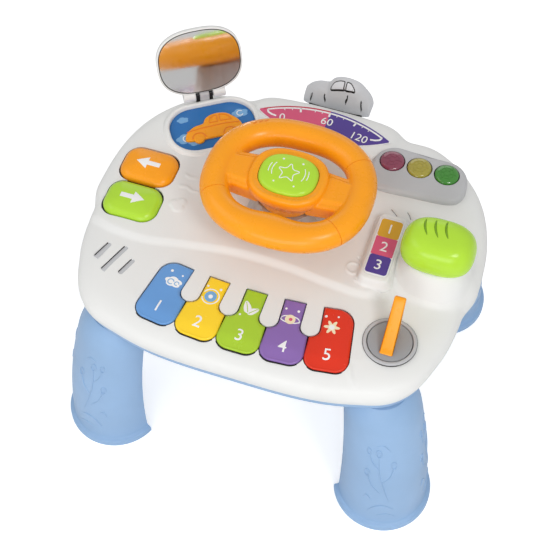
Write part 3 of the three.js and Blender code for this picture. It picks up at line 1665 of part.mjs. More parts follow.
function batteryCuts() {
  const lip = battery.coverLip;
  const coverTop = level.underside + battery.coverThickness + fit;
  const cover = slab(-boxHalfX() - lip, boxHalfX() + lip, batteryY() - boxHalfY() - lip,
    batteryY() + boxHalfY() + lip, level.underside - overrun, coverTop);
  const inside = slab(-boxHalfX(), boxHalfX(), batteryY() - boxHalfY(), batteryY() + boxHalfY(),
    level.underside - overrun, boxTop());
  const hole = rod(battery.screwRadius + fit, level.underside - overrun,
    level.floor + battery.screwRadius * 3, coverScrewX(), batteryY(), 8);
  return [cover, inside, hole];
}

const coverScrewX = () => boxHalfX() + battery.boxWall + battery.screwHead + battery.screwOffset;

function coverTongue(grow, bottom, top) {
  const reach = battery.screwHead + battery.screwOffset;
  return rod(reach + grow, bottom, top, coverScrewX(), batteryY(), 12);
}

function makeBase() {
  const socketOuter = leg.plugRadius + fit + wall;
  const plugTop = level.underside + leg.plugHeight;
  const corners = legCorners().map(([, sx, sy]) => [sx * legTopX(), sy * legTopY(sy)]);
  const sockets = corners.map(([x, y]) => rod(socketOuter, level.underside + wall / 2, plugTop, x, y, 10));
  const holes = corners.map(([x, y]) =>
    rod(leg.plugRadius + fit, level.underside - overrun, plugTop + overrun, x, y, 10));
  const screwBosses = screwPlaces.map(([x, y]) =>
    rod(screw.bossRadius, level.underside + wall / 2, level.underside + screw.towerStart, x, y, 8));
  const screwHoles = screwPlaces.flatMap(([x, y]) => [
    rod(screw.headRadius + fit, level.underside - overrun, level.underside + screw.headDepth, x, y, 8),
    rod(screw.shankRadius + fit, level.underside, level.seam, x, y, 6),
  ]);
  const pivot = [
    rod(lever.shoulderRadius, level.underside + wall / 2, leverBottom() - fit, 0, lever.pivotY, 14),
    rod(lever.postRadius, level.underside + wall / 2, leverTop(), 0, lever.pivotY, 12),
  ];
  const pivotHole = rod(lever.postRadius / 3 + fit / 2, level.floor, leverTop() + overrun, 0,
    lever.pivotY, 6);
  const gate = slab(-lever.gateHalfWidth, lever.gateHalfWidth, table.rearDepth / 2, table.rearDepth * 1.2,
    leverBottom() - 2 * fit, level.seam + overrun);
  const boardPosts = mainBoardPosts().map(([x, y]) =>
    rod(board.bossRadius, level.underside + wall / 2, mainBoardBottom() - fit, x, y, 6));
  const keyPosts = keyBoardPosts().map(([x, y]) =>
    rod(board.bossRadius, boxTop() + battery.boxWall / 2, keyBoardTop() - board.thickness - fit, x, y, 6));
  const tongue = coverTongue(wall, level.underside, level.floor + battery.screwRadius * 3);
  let body = baseForm(0).subtract(baseForm(wall));
  body = joined([
    body, ...sockets, ...screwBosses, ...pivot, ...boardPosts, batteryBox(), ...keyPosts, tongue,
  ]);
  body = cut(body, [
    ...holes, ...screwHoles, pivotHole, gate, ...batteryCuts(), ...powerCuts(),
    coverTongue(fit, level.underside - overrun, level.underside + battery.coverThickness + fit),
  ]);
  piece("bottom_shell", body, material(paint.blue, 0.45));
}

const mainBoardBottom = () => level.floor + mainBoard.lift;
const mainBoardPosts = () => [-1, 1].flatMap((sx) => [-1, 1].map((sy) => [
  mainBoard.x + sx * (mainBoard.halfWidth - 2 * board.bossRadius),
  mainBoard.y + sy * (mainBoard.halfDepth - 2 * board.bossRadius)]));
const keyBoardPosts = () => [-1, 1].map((sx) => [sx * (boxHalfX() - board.bossRadius),
  plungerPlace((keys.count - 1) / 2)[1]]);

// Battery cover with its screw, cells and end contacts
function makeBattery() {
  const lip = battery.coverLip - fit;
  const top = level.underside + battery.coverThickness;
  const sheet = slab(-boxHalfX() - lip, boxHalfX() + lip, batteryY() - boxHalfY() - lip,
    batteryY() + boxHalfY() + lip, level.underside, top).add(coverTongue(0, level.underside, top));
  const hole = rod(battery.screwRadius + fit, level.underside - overrun, top + overrun, coverScrewX(),
    batteryY(), 8);
  const sink = rod(battery.screwHead + fit, level.underside - overrun,
    level.underside + battery.coverThickness / 2, coverScrewX(), batteryY(), 12);
  piece("battery_cover", cut(sheet, [hole, sink]), material(paint.blue, 0.45));
  const headTop = level.underside + battery.coverThickness / 2 - fit;
  const head = rod(battery.screwHead, level.underside, headTop, coverScrewX(), batteryY(), 12);
  const shank = rod(battery.screwRadius, level.underside + fit, level.floor + battery.screwRadius * 2.5,
    coverScrewX(), batteryY(), 6);
  piece("battery_cover_screw", head.add(shank), material(paint.steel, 0.35, 1));
  for (let i = 0; i < battery.cells; i++) {
    const y = batteryY() + (i - (battery.cells - 1) / 2) * battery.pitch;
    const flip = i % 2 ? -1 : 1;
    const half = battery.cellLength / 2;
    const middle = cellBottom() + battery.cellRadius;
    const can = acrossRod(battery.cellRadius, half - battery.nubLength / 2, y, middle, 12);
    const nub = acrossRod(battery.cellRadius / 3, battery.nubLength, y, middle, 8);
    const cell = shifted(can, -flip * (battery.nubLength / 2), 0, 0)
      .add(shifted(nub, flip * (half - battery.nubLength), 0, 0));
    piece(`battery_cell_${i + 1}`, cell, material(paint.darkGrey, 0.4));
  }
  for (const [name, side] of [["left", -1], ["right", 1]]) {
    const x0 = side * (battery.cellLength / 2 + fit);
    const x1 = side * (boxHalfX() - fit);
    const reach = boxHalfY() - battery.contactInset;
    const strip = slab(Math.min(x0, x1), Math.max(x0, x1), batteryY() - reach, batteryY() + reach,
      cellBottom() + battery.cellRadius / 2, cellBottom() + battery.cellRadius * 1.5);
    piece(`battery_contact_${name}`, strip, material(paint.steel, 0.3, 1));
  }
}

function makeMainBoard() {
  const low = mainBoardBottom();
  const sheet = roundedRect(2 * mainBoard.halfWidth, 2 * mainBoard.halfDepth, board.bossRadius, 2,
    mainBoard.x, mainBoard.y);
  piece("main_board", plate(sheet, low, low + board.thickness), material(paint.circuit, 0.6));
}

// Slide switch on the underside
function powerCuts() {
  const half = power.nub / 2 + power.travel + slip;
  return [slab(power.x - half, power.x + half, power.y - power.width / 2 - slip,
    power.y + power.width / 2 + slip, level.underside - overrun, level.floor + overrun)];
}

function makePowerSwitch() {
  const low = level.underside - power.proud;
  const top = level.floor + fit;
  const nub = slab(power.x - power.nub / 2, power.x + power.nub / 2, power.y - power.width / 2,
    power.y + power.width / 2, low, top + wall / 2);
  const shoe = slab(power.x - power.length / 2, power.x + power.length / 2, power.y - power.width,
    power.y + power.width, top, top + wall);
  piece("power_switch", nub.add(shoe), material(paint.black, 0.5));
}

// Push-fit leg: a curved channel that leans out to a flanged foot, open towards the table's centre
function legRing(side, z, extra, thickness) {
  const share = z / table.legHeight;
  const x = -leg.leanX * share * share;
  const y = -leg.leanY * share * share;
  const radius = leg.footRadius + (leg.topRadius - leg.footRadius) * share ** 1.2 + extra;
  const inner = radius - extra - thickness;
  const half = THREE.MathUtils.degToRad(leg.arc / 2);
  const mid = Math.atan2(legFootY(side), legFootX());
  const arc = (r, sign) => Array.from({ length: leg.arcFacets + 1 }, (_, i) => {
    const angle = mid + sign * (half - (2 * half * i) / leg.arcFacets);
    return new THREE.Vector3(legFootX() + x + r * Math.cos(angle), legFootY(side) + y + r * Math.sin(angle), z);
  });
  return [...arc(radius, -1), ...arc(inner, 1)];
}

function legBody(side) {
  const heights = Array.from({ length: leg.rings }, (_, i) => {
    const start = leg.flangeHeight + leg.flangeFillet;
    return start + ((table.legHeight - start) * i) / (leg.rings - 1);
  });
  const rings = [
    legRing(side, 0, leg.flangeReach, leg.wall),
    legRing(side, leg.flangeHeight * 0.8, leg.flangeReach, leg.wall),
    legRing(side, leg.flangeHeight, leg.flangeReach * 0.8, leg.wall),
    ...heights.map((z) => legRing(side, z, 0, leg.wall)),
  ];
  const shell = lofted(rings);
  const top = table.legHeight;
  const cap = rod(leg.topRadius - leg.wall / 2, top - leg.capHeight, top, legTopX(), legTopY(side),
    16);
  const plug = rod(leg.plugRadius, top - leg.capHeight / 2, level.underside + leg.plugHeight, legTopX(),
    legTopY(side), 10);
  return joined([shell, cap, plug]);
}

function makeLegs() {
  for (const [name, sx, sy] of legCorners()) {
    const mirrored = moved(legBody(sy), new THREE.Matrix4().makeScale(sx, sy, 1));
    piece(`leg_${name}`, mirrored, material(paint.blue, 0.45));
  }
}

makeTopShell();
makeBase();
makeBattery();
makeScrews();
makeLegs();
makeSteering();
makeSwing();
makeLid();
makeTray();
makeTurnButtons();
makeKeys();
makeKeyCarrier();
makeKeyBoard();
makeTraffic();
makeDial();
makeShifter();
makeIgnition();
makeMainBoard();
makeSpeaker();
makePowerSwitch();

// The origin is on the floor at the middle of the footprint, between the front feet and the toy car
const frontFeet = legFootY(-1) + leg.footRadius + leg.flangeReach;
const carRear = carRadius() - rearReach + car.thickness / 2 + car.fenderProud;
model.position.y = (frontFeet - carRear) / 2;
model.updateMatrixWorld(true);

export default model;
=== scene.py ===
# Looks of the activity table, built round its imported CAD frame. Tables and helpers are in millimetres.
import bpy, bmesh, math
import numpy as np
from mathutils import Vector, Matrix
from mathutils.bvhtree import BVHTree


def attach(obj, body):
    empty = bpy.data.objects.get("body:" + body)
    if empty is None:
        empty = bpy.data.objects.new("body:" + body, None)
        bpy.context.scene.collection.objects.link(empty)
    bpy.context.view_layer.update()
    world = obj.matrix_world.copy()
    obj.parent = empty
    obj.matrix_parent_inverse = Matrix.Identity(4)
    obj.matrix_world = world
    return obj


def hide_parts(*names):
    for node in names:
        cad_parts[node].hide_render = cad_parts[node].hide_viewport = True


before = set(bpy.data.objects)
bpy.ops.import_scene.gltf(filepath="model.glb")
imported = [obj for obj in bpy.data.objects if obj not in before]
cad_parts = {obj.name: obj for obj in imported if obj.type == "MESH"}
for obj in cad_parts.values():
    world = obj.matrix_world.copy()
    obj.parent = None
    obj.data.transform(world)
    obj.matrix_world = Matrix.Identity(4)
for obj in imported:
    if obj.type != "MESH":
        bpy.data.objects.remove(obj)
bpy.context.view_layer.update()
SHIFT_Y = -11.55          # the outline is drawn about a point 11.55 mm behind the frame's middle
MM = 0.001
TAU = 2 * math.pi
DOWN = Vector((0, 0, -1))
RAY_START, NEAR_DECK = 0.6, 0.23     # heights in metres

# Levels of the housing, and where its controls stand
SKIRT, DECK, DASH, ARCH = 190.0, 222.0, 225.0, 227.6
WHEEL_Y, WHEEL_Z = 13.0, 270.0
KEY_FRONT, FAN_R, FAN_STEP = -133.0, 560.0, 4
TURN_X, TURN_Y = -139.0, (23.5, -17.5)
LENS_X, LENS_Y = (73.8, 99.6, 125.4), 96.5
TRAY = (-100.4, 88.6, math.radians(33.6))
KNOB, ISLAND = (140.0, -3.0), (93.0, 0)
MOUND_HALF, MOUND_POWER = 30, 2.4
LOCK = (122.7, -84.0)
SPEAKER = (-131.2, -78.8, math.radians(69.5))
CAR_Y, CAR_Z, CAR_SIZE = 172.0, 205.0, (68, 35)


# Colours and materials
def linear(rgb):
    return tuple(((c / 255 + 0.055) / 1.055) ** 2.4 if c > 10 else c / 255 / 12.92 for c in rgb) + (1,)


def set_sockets(node, values):
    for socket, value in values.items():
        node.inputs[socket].default_value = value


def node_tree(owner):
    owner.use_nodes = True
    return owner.node_tree


def moulded(name, rgb, rough=0.42, grain=0.22, mottle=0.04, metal=0.0, coat=0.0):
    """Moulded plastic: slight cloudiness in its colour, fine moulding grain, uneven gloss."""
    material = bpy.data.materials.new(name)
    tree = node_tree(material)
    shader = tree.nodes["Principled BSDF"]
    set_sockets(shader, {"Metallic": metal, "Coat Weight": coat, "Coat Roughness": 0.12,
                         "Specular IOR Level": 0.5 if metal or coat else 0.36})
    place_of = tree.nodes.new("ShaderNodeTexCoord")

    def noise(size, detail, fine=0.5):
        n = tree.nodes.new("ShaderNodeTexNoise")
        set_sockets(n, {"Scale": size, "Detail": detail, "Roughness": fine})
        tree.links.new(place_of.outputs["Object"], n.inputs["Vector"])
        return n.outputs["Fac"]
    ramp = tree.nodes.new("ShaderNodeValToRGB")
    for stop, at, k in zip(ramp.color_ramp.elements, (0.3, 0.7), (1 - mottle, 1 + mottle)):
        stop.position = at
        stop.color = tuple(min(1, c * k) for c in linear(rgb)[:3]) + (1,)
    tree.links.new(noise(22, 4), ramp.inputs["Fac"])
    tree.links.new(ramp.outputs["Color"], shader.inputs["Base Color"])
    gloss = tree.nodes.new("ShaderNodeMapRange")
    set_sockets(gloss, {"To Min": rough - 0.07, "To Max": rough + 0.07})
    tree.links.new(noise(60, 5, 0.65), gloss.inputs["Value"])
    tree.links.new(gloss.outputs["Result"], shader.inputs["Roughness"])
    bump = tree.nodes.new("ShaderNodeBump")
    set_sockets(bump, {"Strength": grain, "Distance": 0.0002})
    tree.links.new(noise(900, 3), bump.inputs["Height"])
    tree.links.new(bump.outputs["Normal"], shader.inputs["Normal"])
    return material


# Each plastic's colour, roughness, grain, mottle, metal and coat
SHADES = {
    "shell_white": ((230, 230, 228), 0.44, 0.2, 0.012), "base_blue": ((146, 178, 214), 0.40),
    "orange_plastic": ((250, 160, 22), 0.28, 0.1), "lime_plastic": ((178, 222, 58), 0.22, 0.1),
    "key_blue": ((104, 155, 214), 0.25), "key_yellow": ((255, 212, 44), 0.25),
    "key_green": ((170, 206, 52), 0.25), "key_purple": ((140, 106, 176), 0.25),
    "key_red": ((222, 52, 26), 0.25), "grey_plastic": ((186, 186, 188), 0.4),
    "mechanism_plastic": ((196, 196, 194), 0.5), "tray_blue": ((42, 112, 180), 0.35),
    "lens_red": ((138, 58, 84), 0.2, 0.08, 0.05, 0, 0.6),
    "lens_yellow": ((168, 156, 58), 0.2, 0.08, 0.05, 0, 0.6),
    "lens_green": ((60, 136, 42), 0.2, 0.08, 0.05, 0, 0.6),
    "dial_print": ((236, 236, 238), 0.35, 0.08), "gear_print": ((236, 236, 238), 0.35, 0.08),
    "mirror_film": ((250, 250, 250), 0.07, 0.03, 0.01, 1.0),
    "steel": ((170, 172, 176), 0.3, 0.15, 0.04, 1.0), "silicone": ((205, 208, 204), 0.6),
    "circuit_board": ((38, 104, 66), 0.5), "black_plastic": ((26, 26, 28), 0.5),
    "cell_wrap": ((60, 62, 66), 0.4),
}
# Inks, painted shades and other tones, by the slot that they share
TONES = {
    "dial_print": {"ink_white": (240, 240, 240), "ink_pink": (214, 88, 124), "ink_purple": (82, 62, 146),
                   "ink_yellow": (216, 166, 40), "ink_sky": (120, 172, 218), "ink_red": (196, 48, 66),
                   "ink_cream": (240, 226, 190)},
    "grey_plastic": {"car_grey": (206, 207, 210), "pane_pale": (224, 226, 230), "lock_grey": (158, 159, 162)},
    # The grey of the deck's grooves is painted shade
    # The grey of the speaker slots' floors is painted shade
    "shell_white": {"slot_floor_shade": (196, 197, 200), "groove_shade_grey": (140, 140, 140)},
    # The darker green is painted shade in the knob's grooves
    "orange_plastic": {"relief_orange": (236, 130, 34)}, "lime_plastic": {"groove_shade_green": (122, 160, 40)},
    # A near black used as painted shade in gaps, slots and under the toy car, and as dark ink on the dial's
    # figures
    "black_plastic": {"gap_dark": (24, 22, 22)},
}
MAT = {name: moulded(name, *look) for name, look in SHADES.items()}
SLOT = {name: name for name in SHADES}
for shared, tones in TONES.items():
    for name, rgb in tones.items():
        MAT[name] = moulded(name, rgb, 0.4, 0.1)
        SLOT[name] = shared


# Meshes and pieces. A form is a pair of points and faces
def place(points):
    """Points about the outline's own centre in millimetres, as points of the frame in metres."""
    return (np.asarray(points, float) + (0, SHIFT_Y, 0)) * MM


def added(name, data):
    """A new object in the scene."""
    ob = bpy.data.objects.new(name, data)
    bpy.context.scene.collection.objects.link(ob)
    return ob


def linked(name, mesh, bm):
    """An object with a mesh written from an edit mesh."""
    bm.to_mesh(mesh)
    bm.free()
    return added(name, mesh)


def solid(form, name="tool", weld=True):
    """A closed object from a form. Without a name of its own it is a cutter or a part to join."""
    mesh = bpy.data.meshes.new(name)
    mesh.from_pydata(place(form[0]).tolist(), [], [list(f) for f in form[1]])
    bm = bmesh.new()
    bm.from_mesh(mesh)
    if weld:
        bmesh.ops.remove_doubles(bm, verts=bm.verts, dist=1e-6)
    bmesh.ops.recalc_face_normals(bm, faces=bm.faces)
    return linked(name, mesh, bm)


def smoothed(ob, material, sharp):
    """One material and smooth faces, but for edges sharper than the angle given."""
    mesh = ob.data
    mesh.materials.clear()
    mesh.materials.append(material)
    mesh.polygons.foreach_set("use_smooth", [True] * len(mesh.polygons))
    mesh.set_sharp_from_angle(angle=math.radians(sharp))


body_of = {}


def finished(ob, paint, body, node=None, sharp=38):
    """Gives a piece its paint, the body it rides on and the node it replaces."""
    smoothed(ob, MAT[paint], sharp)
    body_of[ob.name] = body
    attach(ob, body)
    if node:
        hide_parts(node)
    return ob


def made(name, form, paint, body="root", node=None, slot=None, sharp=38):
    """One piece from a form, or from a list of forms that stay unwelded."""
    if isinstance(form, list):
        ob = solid(combined(form), name, weld=False)
    else:
        ob = solid(form, name)
    return finished(ob, paint, body, node, sharp)


def evaluated(ob):
    """The mesh that an object's modifiers or text make."""
    bpy.context.view_layer.update()
    return bpy.data.meshes.new_from_object(ob.evaluated_get(bpy.context.evaluated_depsgraph_get()))


def applied(ob):
    mesh = evaluated(ob)
    ob.modifiers.clear()
    ob.data = mesh


def shaped(ob, tools, kind="DIFFERENCE", sharp=38):
    """Cuts or joins an object with helper objects, then drops the helpers."""
    materials = ob.data.materials[:]
    for tool in tools:
        m = ob.modifiers.new("form", "BOOLEAN")
        m.operation, m.solver, m.object = kind, "MANIFOLD", tool
    applied(ob)
    for tool in tools:
        bpy.data.objects.remove(tool)
    if materials:
        smoothed(ob, materials[0], sharp)
    return ob


def softened(ob, voxel, rounds):
    """Melts the joints of one mesh into small fillets, as a mould has."""
    remesh = ob.modifiers.new("remesh", "REMESH")
    remesh.mode, remesh.voxel_size = "VOXEL", voxel * MM
    ease = ob.modifiers.new("smooth", "SMOOTH")
    ease.factor, ease.iterations = 0.5, rounds
    applied(ob)


# Forms
def loft(rings, wrap=False):
    """Faces between rings of equal count, capped at both ends or wrapped from last to first."""
    n, count = len(rings[0]), len(rings)
    pairs = [(i * n, (i + 1) % count * n) for i in range(count if wrap else count - 1)]
    faces = [(i + k, i + (k + 1) % n, j + (k + 1) % n, j + k) for i, j in pairs for k in range(n)]
    if not wrap:
        faces += [tuple(range(n))[::-1], tuple(range((count - 1) * n, count * n))]
    return np.vstack(rings), faces


def lift(loop, z):
    return np.column_stack([loop, np.full(len(loop), z)])


def stack(loop_at, levels, wrap=False):
    """A form through outlines at several levels; loop_at makes each outline from its level's number."""
    return loft([lift(loop_at(size), z) for size, z in levels], wrap)


def slug(loop, low, high):
    return solid(loft([lift(loop, low), lift(loop, high)]))


def slab(loop, low, top, radius, steps, foot=0.0):
    """A flat form with a rounded top edge, and a rounded lower edge where foot gives its radius."""
    rings = [lift(loop, low)]
    if foot:
        rings = [lift(inset(loop, foot * (1 - math.sin(a))), low + foot * (1 - math.cos(a)))
                 for a in np.linspace(0, TAU / 4, 4)]
    for a in np.linspace(0, TAU / 4, steps + 1):
        rings.append(lift(inset(loop, radius * (1 - math.cos(a))), top - radius * (1 - math.sin(a))))
    return loft(rings)


def combined(forms):
    verts, faces, base = [], [], 0
    for v, f in forms:
        verts.append(v)
        faces += [tuple(i + base for i in face) for face in f]
        base += len(v)
    return np.vstack(verts), faces


def moved(form, matrix):
    m = np.array(matrix)
    return form[0] @ m[:3, :3].T + m[:3, 3], form[1]


def closed_grid(upper, cols, low):
    """A closed form under a grid of surface points, with walls down to a flat floor."""
    rows = len(upper) // cols
    faces = [(p, p + 1, p + cols + 1, p + cols)
             for i in range(rows - 1) for p in range(i * cols, (i + 1) * cols - 1)]
    rim = [*range(cols), *range(2 * cols - 1, rows * cols, cols),
           *range(rows * cols - 2, (rows - 1) * cols - 1, -1), *range((rows - 2) * cols, 0, -cols)]
    lower = upper[rim]
    lower[:, 2] = low
    base, n = len(upper), len(rim)
    faces += [(rim[(i + 1) % n], rim[i], base + i, base + (i + 1) % n) for i in range(n)]
    faces.append(tuple(range(base, base + n)))
    return np.vstack([upper, lower]), faces


def pillow(loop, low, top, fillet, crown, rows, cols, spread=18.0, form=None):
    """A closed form over an outline that any line along x crosses twice, with a rounded top edge."""
    lowest, highest = loop[:, 1].min(), loop[:, 1].max()
    ts = (1 - np.cos(np.linspace(0.03, math.pi - 0.03, rows))) / 2
    ys = lowest + (highest - lowest) * (ts - ts[0]) / (ts[-1] - ts[0])
    ys[0] += 1e-4
    ys[-1] -= 1e-4
    a, b = loop, np.roll(loop, -1, 0)
    across = (1 - np.cos(np.linspace(0, math.pi, cols))) / 2
    grid = []
    for y in ys:
        hit = (a[:, 1] - y) * (b[:, 1] - y) < 0
        xs = a[hit, 0] + (y - a[hit, 1]) / (b[hit, 1] - a[hit, 1]) * (b[hit, 0] - a[hit, 0])
        grid.append(lift(xs.min() + (xs.max() - xs.min()) * across, y))
    flat = np.vstack(grid)
    d = line_distance(flat, np.vstack([loop, loop[:1]]))
    e = np.clip(fillet - d, 0, fillet)
    z = top - (fillet - np.sqrt(np.maximum(fillet ** 2 - e ** 2, 0)))
    z = z + crown * (1 - np.exp(-((d / spread) ** 2) * 3))
    if form is not None:
        z = z + form(*flat.T) * smooth(d / fillet)
    return closed_grid(np.column_stack([flat, z]), cols, low)


def directions(path, closed):
    """Unit direction of a path at each of its points."""
    before, after = np.roll(path, 1, 0), np.roll(path, -1, 0)
    if not closed:
        before[0], after[-1] = path[0], path[-1]
    return unit(after - before)


def tube(path, radius, sides, closed=False):
    """A tube along a path of points, of one radius or one for each point."""
    k = turns(sides)[:, None]
    rings = []
    for point, ahead, r in zip(path, directions(path, closed), np.broadcast_to(radius, len(path))):
        side = np.cross(ahead, (0, 0, 1.0))
        side = side / np.linalg.norm(side)
        rings.append(point + r * (np.cos(k) * side + np.sin(k) * np.cross(side, ahead)))
    return loft(rings, closed)


# Outlines
def turns(n):
    """Angles of n even steps round a circle."""
    return np.arange(n) * TAU / n


def around(a, reach, x=0.0, y=0.0):
    """Points round a middle, from their angles and reach."""
    return np.column_stack([x + reach * np.cos(a), y + reach * np.sin(a)])


def superloop(hw, hd, power, n=96, x=0.0, y=0.0):
    a = turns(n)
    r = (np.abs(np.cos(a) / hw) ** power + np.abs(np.sin(a) / hd) ** power) ** (-1 / power)
    return around(a, r, x, y)


def disc(x, y, r, n=28):
    return superloop(r, r, 2, n, x, y)


def arc(x, y, r, start, end, n=24):
    return around(np.radians(np.linspace(start, end, n)), r, x, y)


def round_rect(w, d, corner, steps=8, x=0.0, y=0.0):
    pts = []
    for k, (sx, sy) in enumerate(((1, 1), (-1, 1), (-1, -1), (1, -1))):
        for i in range(steps + 1):
            a = (k + i / steps) * TAU / 4
            pts.append((x + sx * (w / 2 - corner) + corner * math.cos(a),
                        y + sy * (d / 2 - corner) + corner * math.sin(a)))
    return np.array(pts)


def turned(loop, x, y, angle):
    """A loop turned about zero, then carried to a place."""
    c, s = math.cos(angle), math.sin(angle)
    px, py = np.asarray(loop, float).T
    return np.column_stack([x + c * px - s * py, y + s * px + c * py])


def unit(v):
    return v / np.maximum(np.linalg.norm(v, axis=1, keepdims=True), 1e-9)


def inset(loop, distance):
    """Moves each point of a counter-clockwise loop inward along its normal."""
    steps = loop - np.roll(loop, 1, 0), np.roll(loop, -1, 0) - loop
    n1, n2 = (unit(step)[:, ::-1] * (-1, 1) for step in steps)
    n = unit(n1 + n2)
    return loop + n * distance / np.maximum(0.35, (n * n1).sum(1, keepdims=True))


def inward(loop, distance):
    """Moves each point towards the middle, which keeps wide insets free of folds."""
    return loop * (1 - distance / np.linalg.norm(loop, axis=1, keepdims=True))


def ccw(loop):
    """The loop in counter-clockwise order."""
    x, y = loop.T
    return loop if np.sum(x * np.roll(y, -1) - np.roll(x, -1) * y) > 0 else loop[::-1]


def catmull(points, n, closed=True):
    """A smooth curve through points."""
    p = np.asarray(points, float)
    count = len(p)
    spans = count if closed else count - 1
    t = np.arange(n if closed else n + 1) * spans / n
    k = np.minimum(t.astype(int), spans - 1)
    u = (t - k)[:, None]
    a, b, c, d = (p[j % count if closed else np.clip(j, 0, count - 1)] for j in (k - 1, k, k + 1, k + 2))
    square, cube = 2 * a - 5 * b + 4 * c - d, 3 * b - a - 3 * c + d
    return 0.5 * (2 * b + (c - a) * u + square * u ** 2 + cube * u ** 3)


def smooth(t):
    t = np.clip(t, 0, 1)
    return t * t * (3 - 2 * t)


def line_distance(points, line):
    """Distance of each point from a line of points."""
    best = np.full(len(points), 1e9)
    for p, q in zip(line[:-1], line[1:]):
        d = q - p
        t = np.clip(((points - p) @ d) / max(d @ d, 1e-12), 0, 1)
        best = np.minimum(best, np.linalg.norm(points - p - t[:, None] * d, axis=1))
    return best


# Prints and inlays: flat forms laid on a surface
def surface(pieces):
    """Something to find heights on, from the meshes of pieces."""
    verts, faces = [], []
    for ob in pieces:
        base = len(verts)
        verts += [v.co.copy() for v in ob.data.vertices]
        faces += [[base + i for i in p.vertices] for p in ob.data.polygons]
    return BVHTree.FromPolygons(verts, faces)


def height_on(under, x, y):
    """Height of a surface at a place, or of its nearest point beside it, all in metres."""
    hit = under.ray_cast(Vector((x, y, RAY_START)), DOWN)[0]
    return (under.find_nearest(Vector((x, y, NEAR_DECK)))[0] if hit is None else hit).z


def glyphs(text, size, bold):
    """Generic figures from Blender's built-in face, centred."""
    cu = bpy.data.curves.new("figure", "FONT")
    cu.body, cu.size, cu.align_x, cu.align_y = text, size, "CENTER", "CENTER"
    cu.offset, cu.resolution_u = bold, 6
    ob = added("figure", cu)
    mesh = evaluated(ob)
    verts = np.array([v.co.xy for v in mesh.vertices], float)
    faces = [tuple(p.vertices) for p in mesh.polygons]
    bpy.data.objects.remove(ob)
    return verts - (verts.min(0) + verts.max(0)) / 2, faces


def polygon(points):
    return points, [tuple(range(len(points)))]


def dots(*places):
    """Round spots, each with its x, y and radius."""
    return [polygon(disc(*spot)) for spot in places]


def ribbon(points, width, closed=False):
    """A flat line of one width along points."""
    p = np.asarray(points, float)
    n = len(p)
    side = directions(p, closed)[:, ::-1] * (-1, 1) * width / 2
    faces = [(i, (i + 1) % n, n + (i + 1) % n, n + i) for i in range(n if closed else n - 1)]
    return np.vstack([p + side, p - side]), faces


def decal(name, paint, shapes, *carriers, thick=0.12, cell=2.4, slot=None):
    """Flat shapes laid from above on the pieces that carry them, as thin as ink or foil."""
    under = surface(carriers)
    bm = bmesh.new()
    for verts, faces in shapes:
        corners = [bm.verts.new((x * MM, (y + SHIFT_Y) * MM, 0)) for x, y in verts]
        for f in faces:
            bm.faces.new([corners[i] for i in f])
    bmesh.ops.triangulate(bm, faces=bm.faces)
    for _ in range(4):
        long = [e for e in bm.edges if e.calc_length() > cell * MM]
        if not long:
            break
        bmesh.ops.subdivide_edges(bm, edges=long, cuts=1)
        bmesh.ops.triangulate(bm, faces=[f for f in bm.faces if len(f.verts) > 3])
    for v in bm.verts:
        v.co.z = height_on(under, v.co.x, v.co.y) + 0.03e-3
    bmesh.ops.recalc_face_normals(bm, faces=bm.faces)
    if sum(f.normal.z for f in bm.faces) < 0:
        bmesh.ops.reverse_faces(bm, faces=bm.faces)
    for g in bmesh.ops.extrude_face_region(bm, geom=bm.faces[:])["geom"]:
        if isinstance(g, bmesh.types.BMVert):
            g.co.z += thick * MM
    bmesh.ops.recalc_face_normals(bm, faces=bm.faces)
    return finished(linked(name, bpy.data.meshes.new(name), bm), paint, body_of[carriers[0].name])


# Outline of the housing, a little slimmer at its waist and front than the CAD's
HALF_WIDTH, FRONT, REAR, FRONT_POWER, REAR_POWER = 182, 151, 154, 3.2, 2.6
WAIST, FRONT_TRIM, NOTCH = 7.0, 3.4, 8


def full_reach(c, s):
    """Distance of the CAD's outline from its middle, in the direction of cosine c and sine s."""
    depth, power = np.where(s > 0, REAR, FRONT), np.where(s > 0, REAR_POWER, FRONT_POWER)
    return (np.abs(c / HALF_WIDTH) ** power + np.abs(s / depth) ** power) ** (-1 / power)


def table_loop(n=720):
    a = turns(n)
    c, s = np.cos(a), np.sin(a)
    r = full_reach(c, s)
    r = r - np.where(s > 0, NOTCH * np.exp(-((np.abs(r * c) - 86) / 16) ** 2), 0)
    r = r - WAIST * smooth((-r * s - 4) / 30) * smooth((132 + r * s) / 50)
    r = r - FRONT_TRIM * smooth((-r * s - 122) / 22) * smooth((152 - np.abs(r * c)) / 40)
    return around(a, r)


def slim_reach(x, y):
    """Distance of the slimmer outline from its middle, in the direction of a point."""
    ring = table_loop(1440)
    angles = np.arctan2(ring[:, 1], ring[:, 0])
    order = np.argsort(angles)
    return np.interp(np.arctan2(y, x), angles[order], np.linalg.norm(ring, axis=1)[order])


# Rounded edges of the deck and the dash as shares of their run and height, and the dash's front as shares
EDGE_RUN = 34.0
DECK_EDGE = ((0, .46), (.03, .66), (.13, .8), (.35, .9), (.65, .965), (1, 1))
DASH_EDGE = ((0, .44), (.022, .55), (.06, .7), (.17, .85), (.4, .94), (.7, .985), (1, 1))
SKIRT_EDGE = ((0.13, 0), (0.09, 0.07), (0.045, 0.18), (0.012, 0.32))
INNER_EDGE = ((0.5, 0.93), (0.16, 0.74), (0.075, 0.45), (0.2, 0))
DASH_FRONT = np.array([(-1.2, -.26), (-.96, -.30), (-.8, -.36), (-.62, -.37), (-.42, -.33), (-.18, -.29),
                       (.08, -.29), (.3, -.32), (.5, -.33), (.7, -.26), (.92, -.17), (1.2, -.13)])
dash_line = catmull(DASH_FRONT * (HALF_WIDTH, FRONT), 200, closed=False)
CORE, DECK_UNDER, WALL = 0.06, 218.3, 2.2     # share hidden by the column, underside and wall

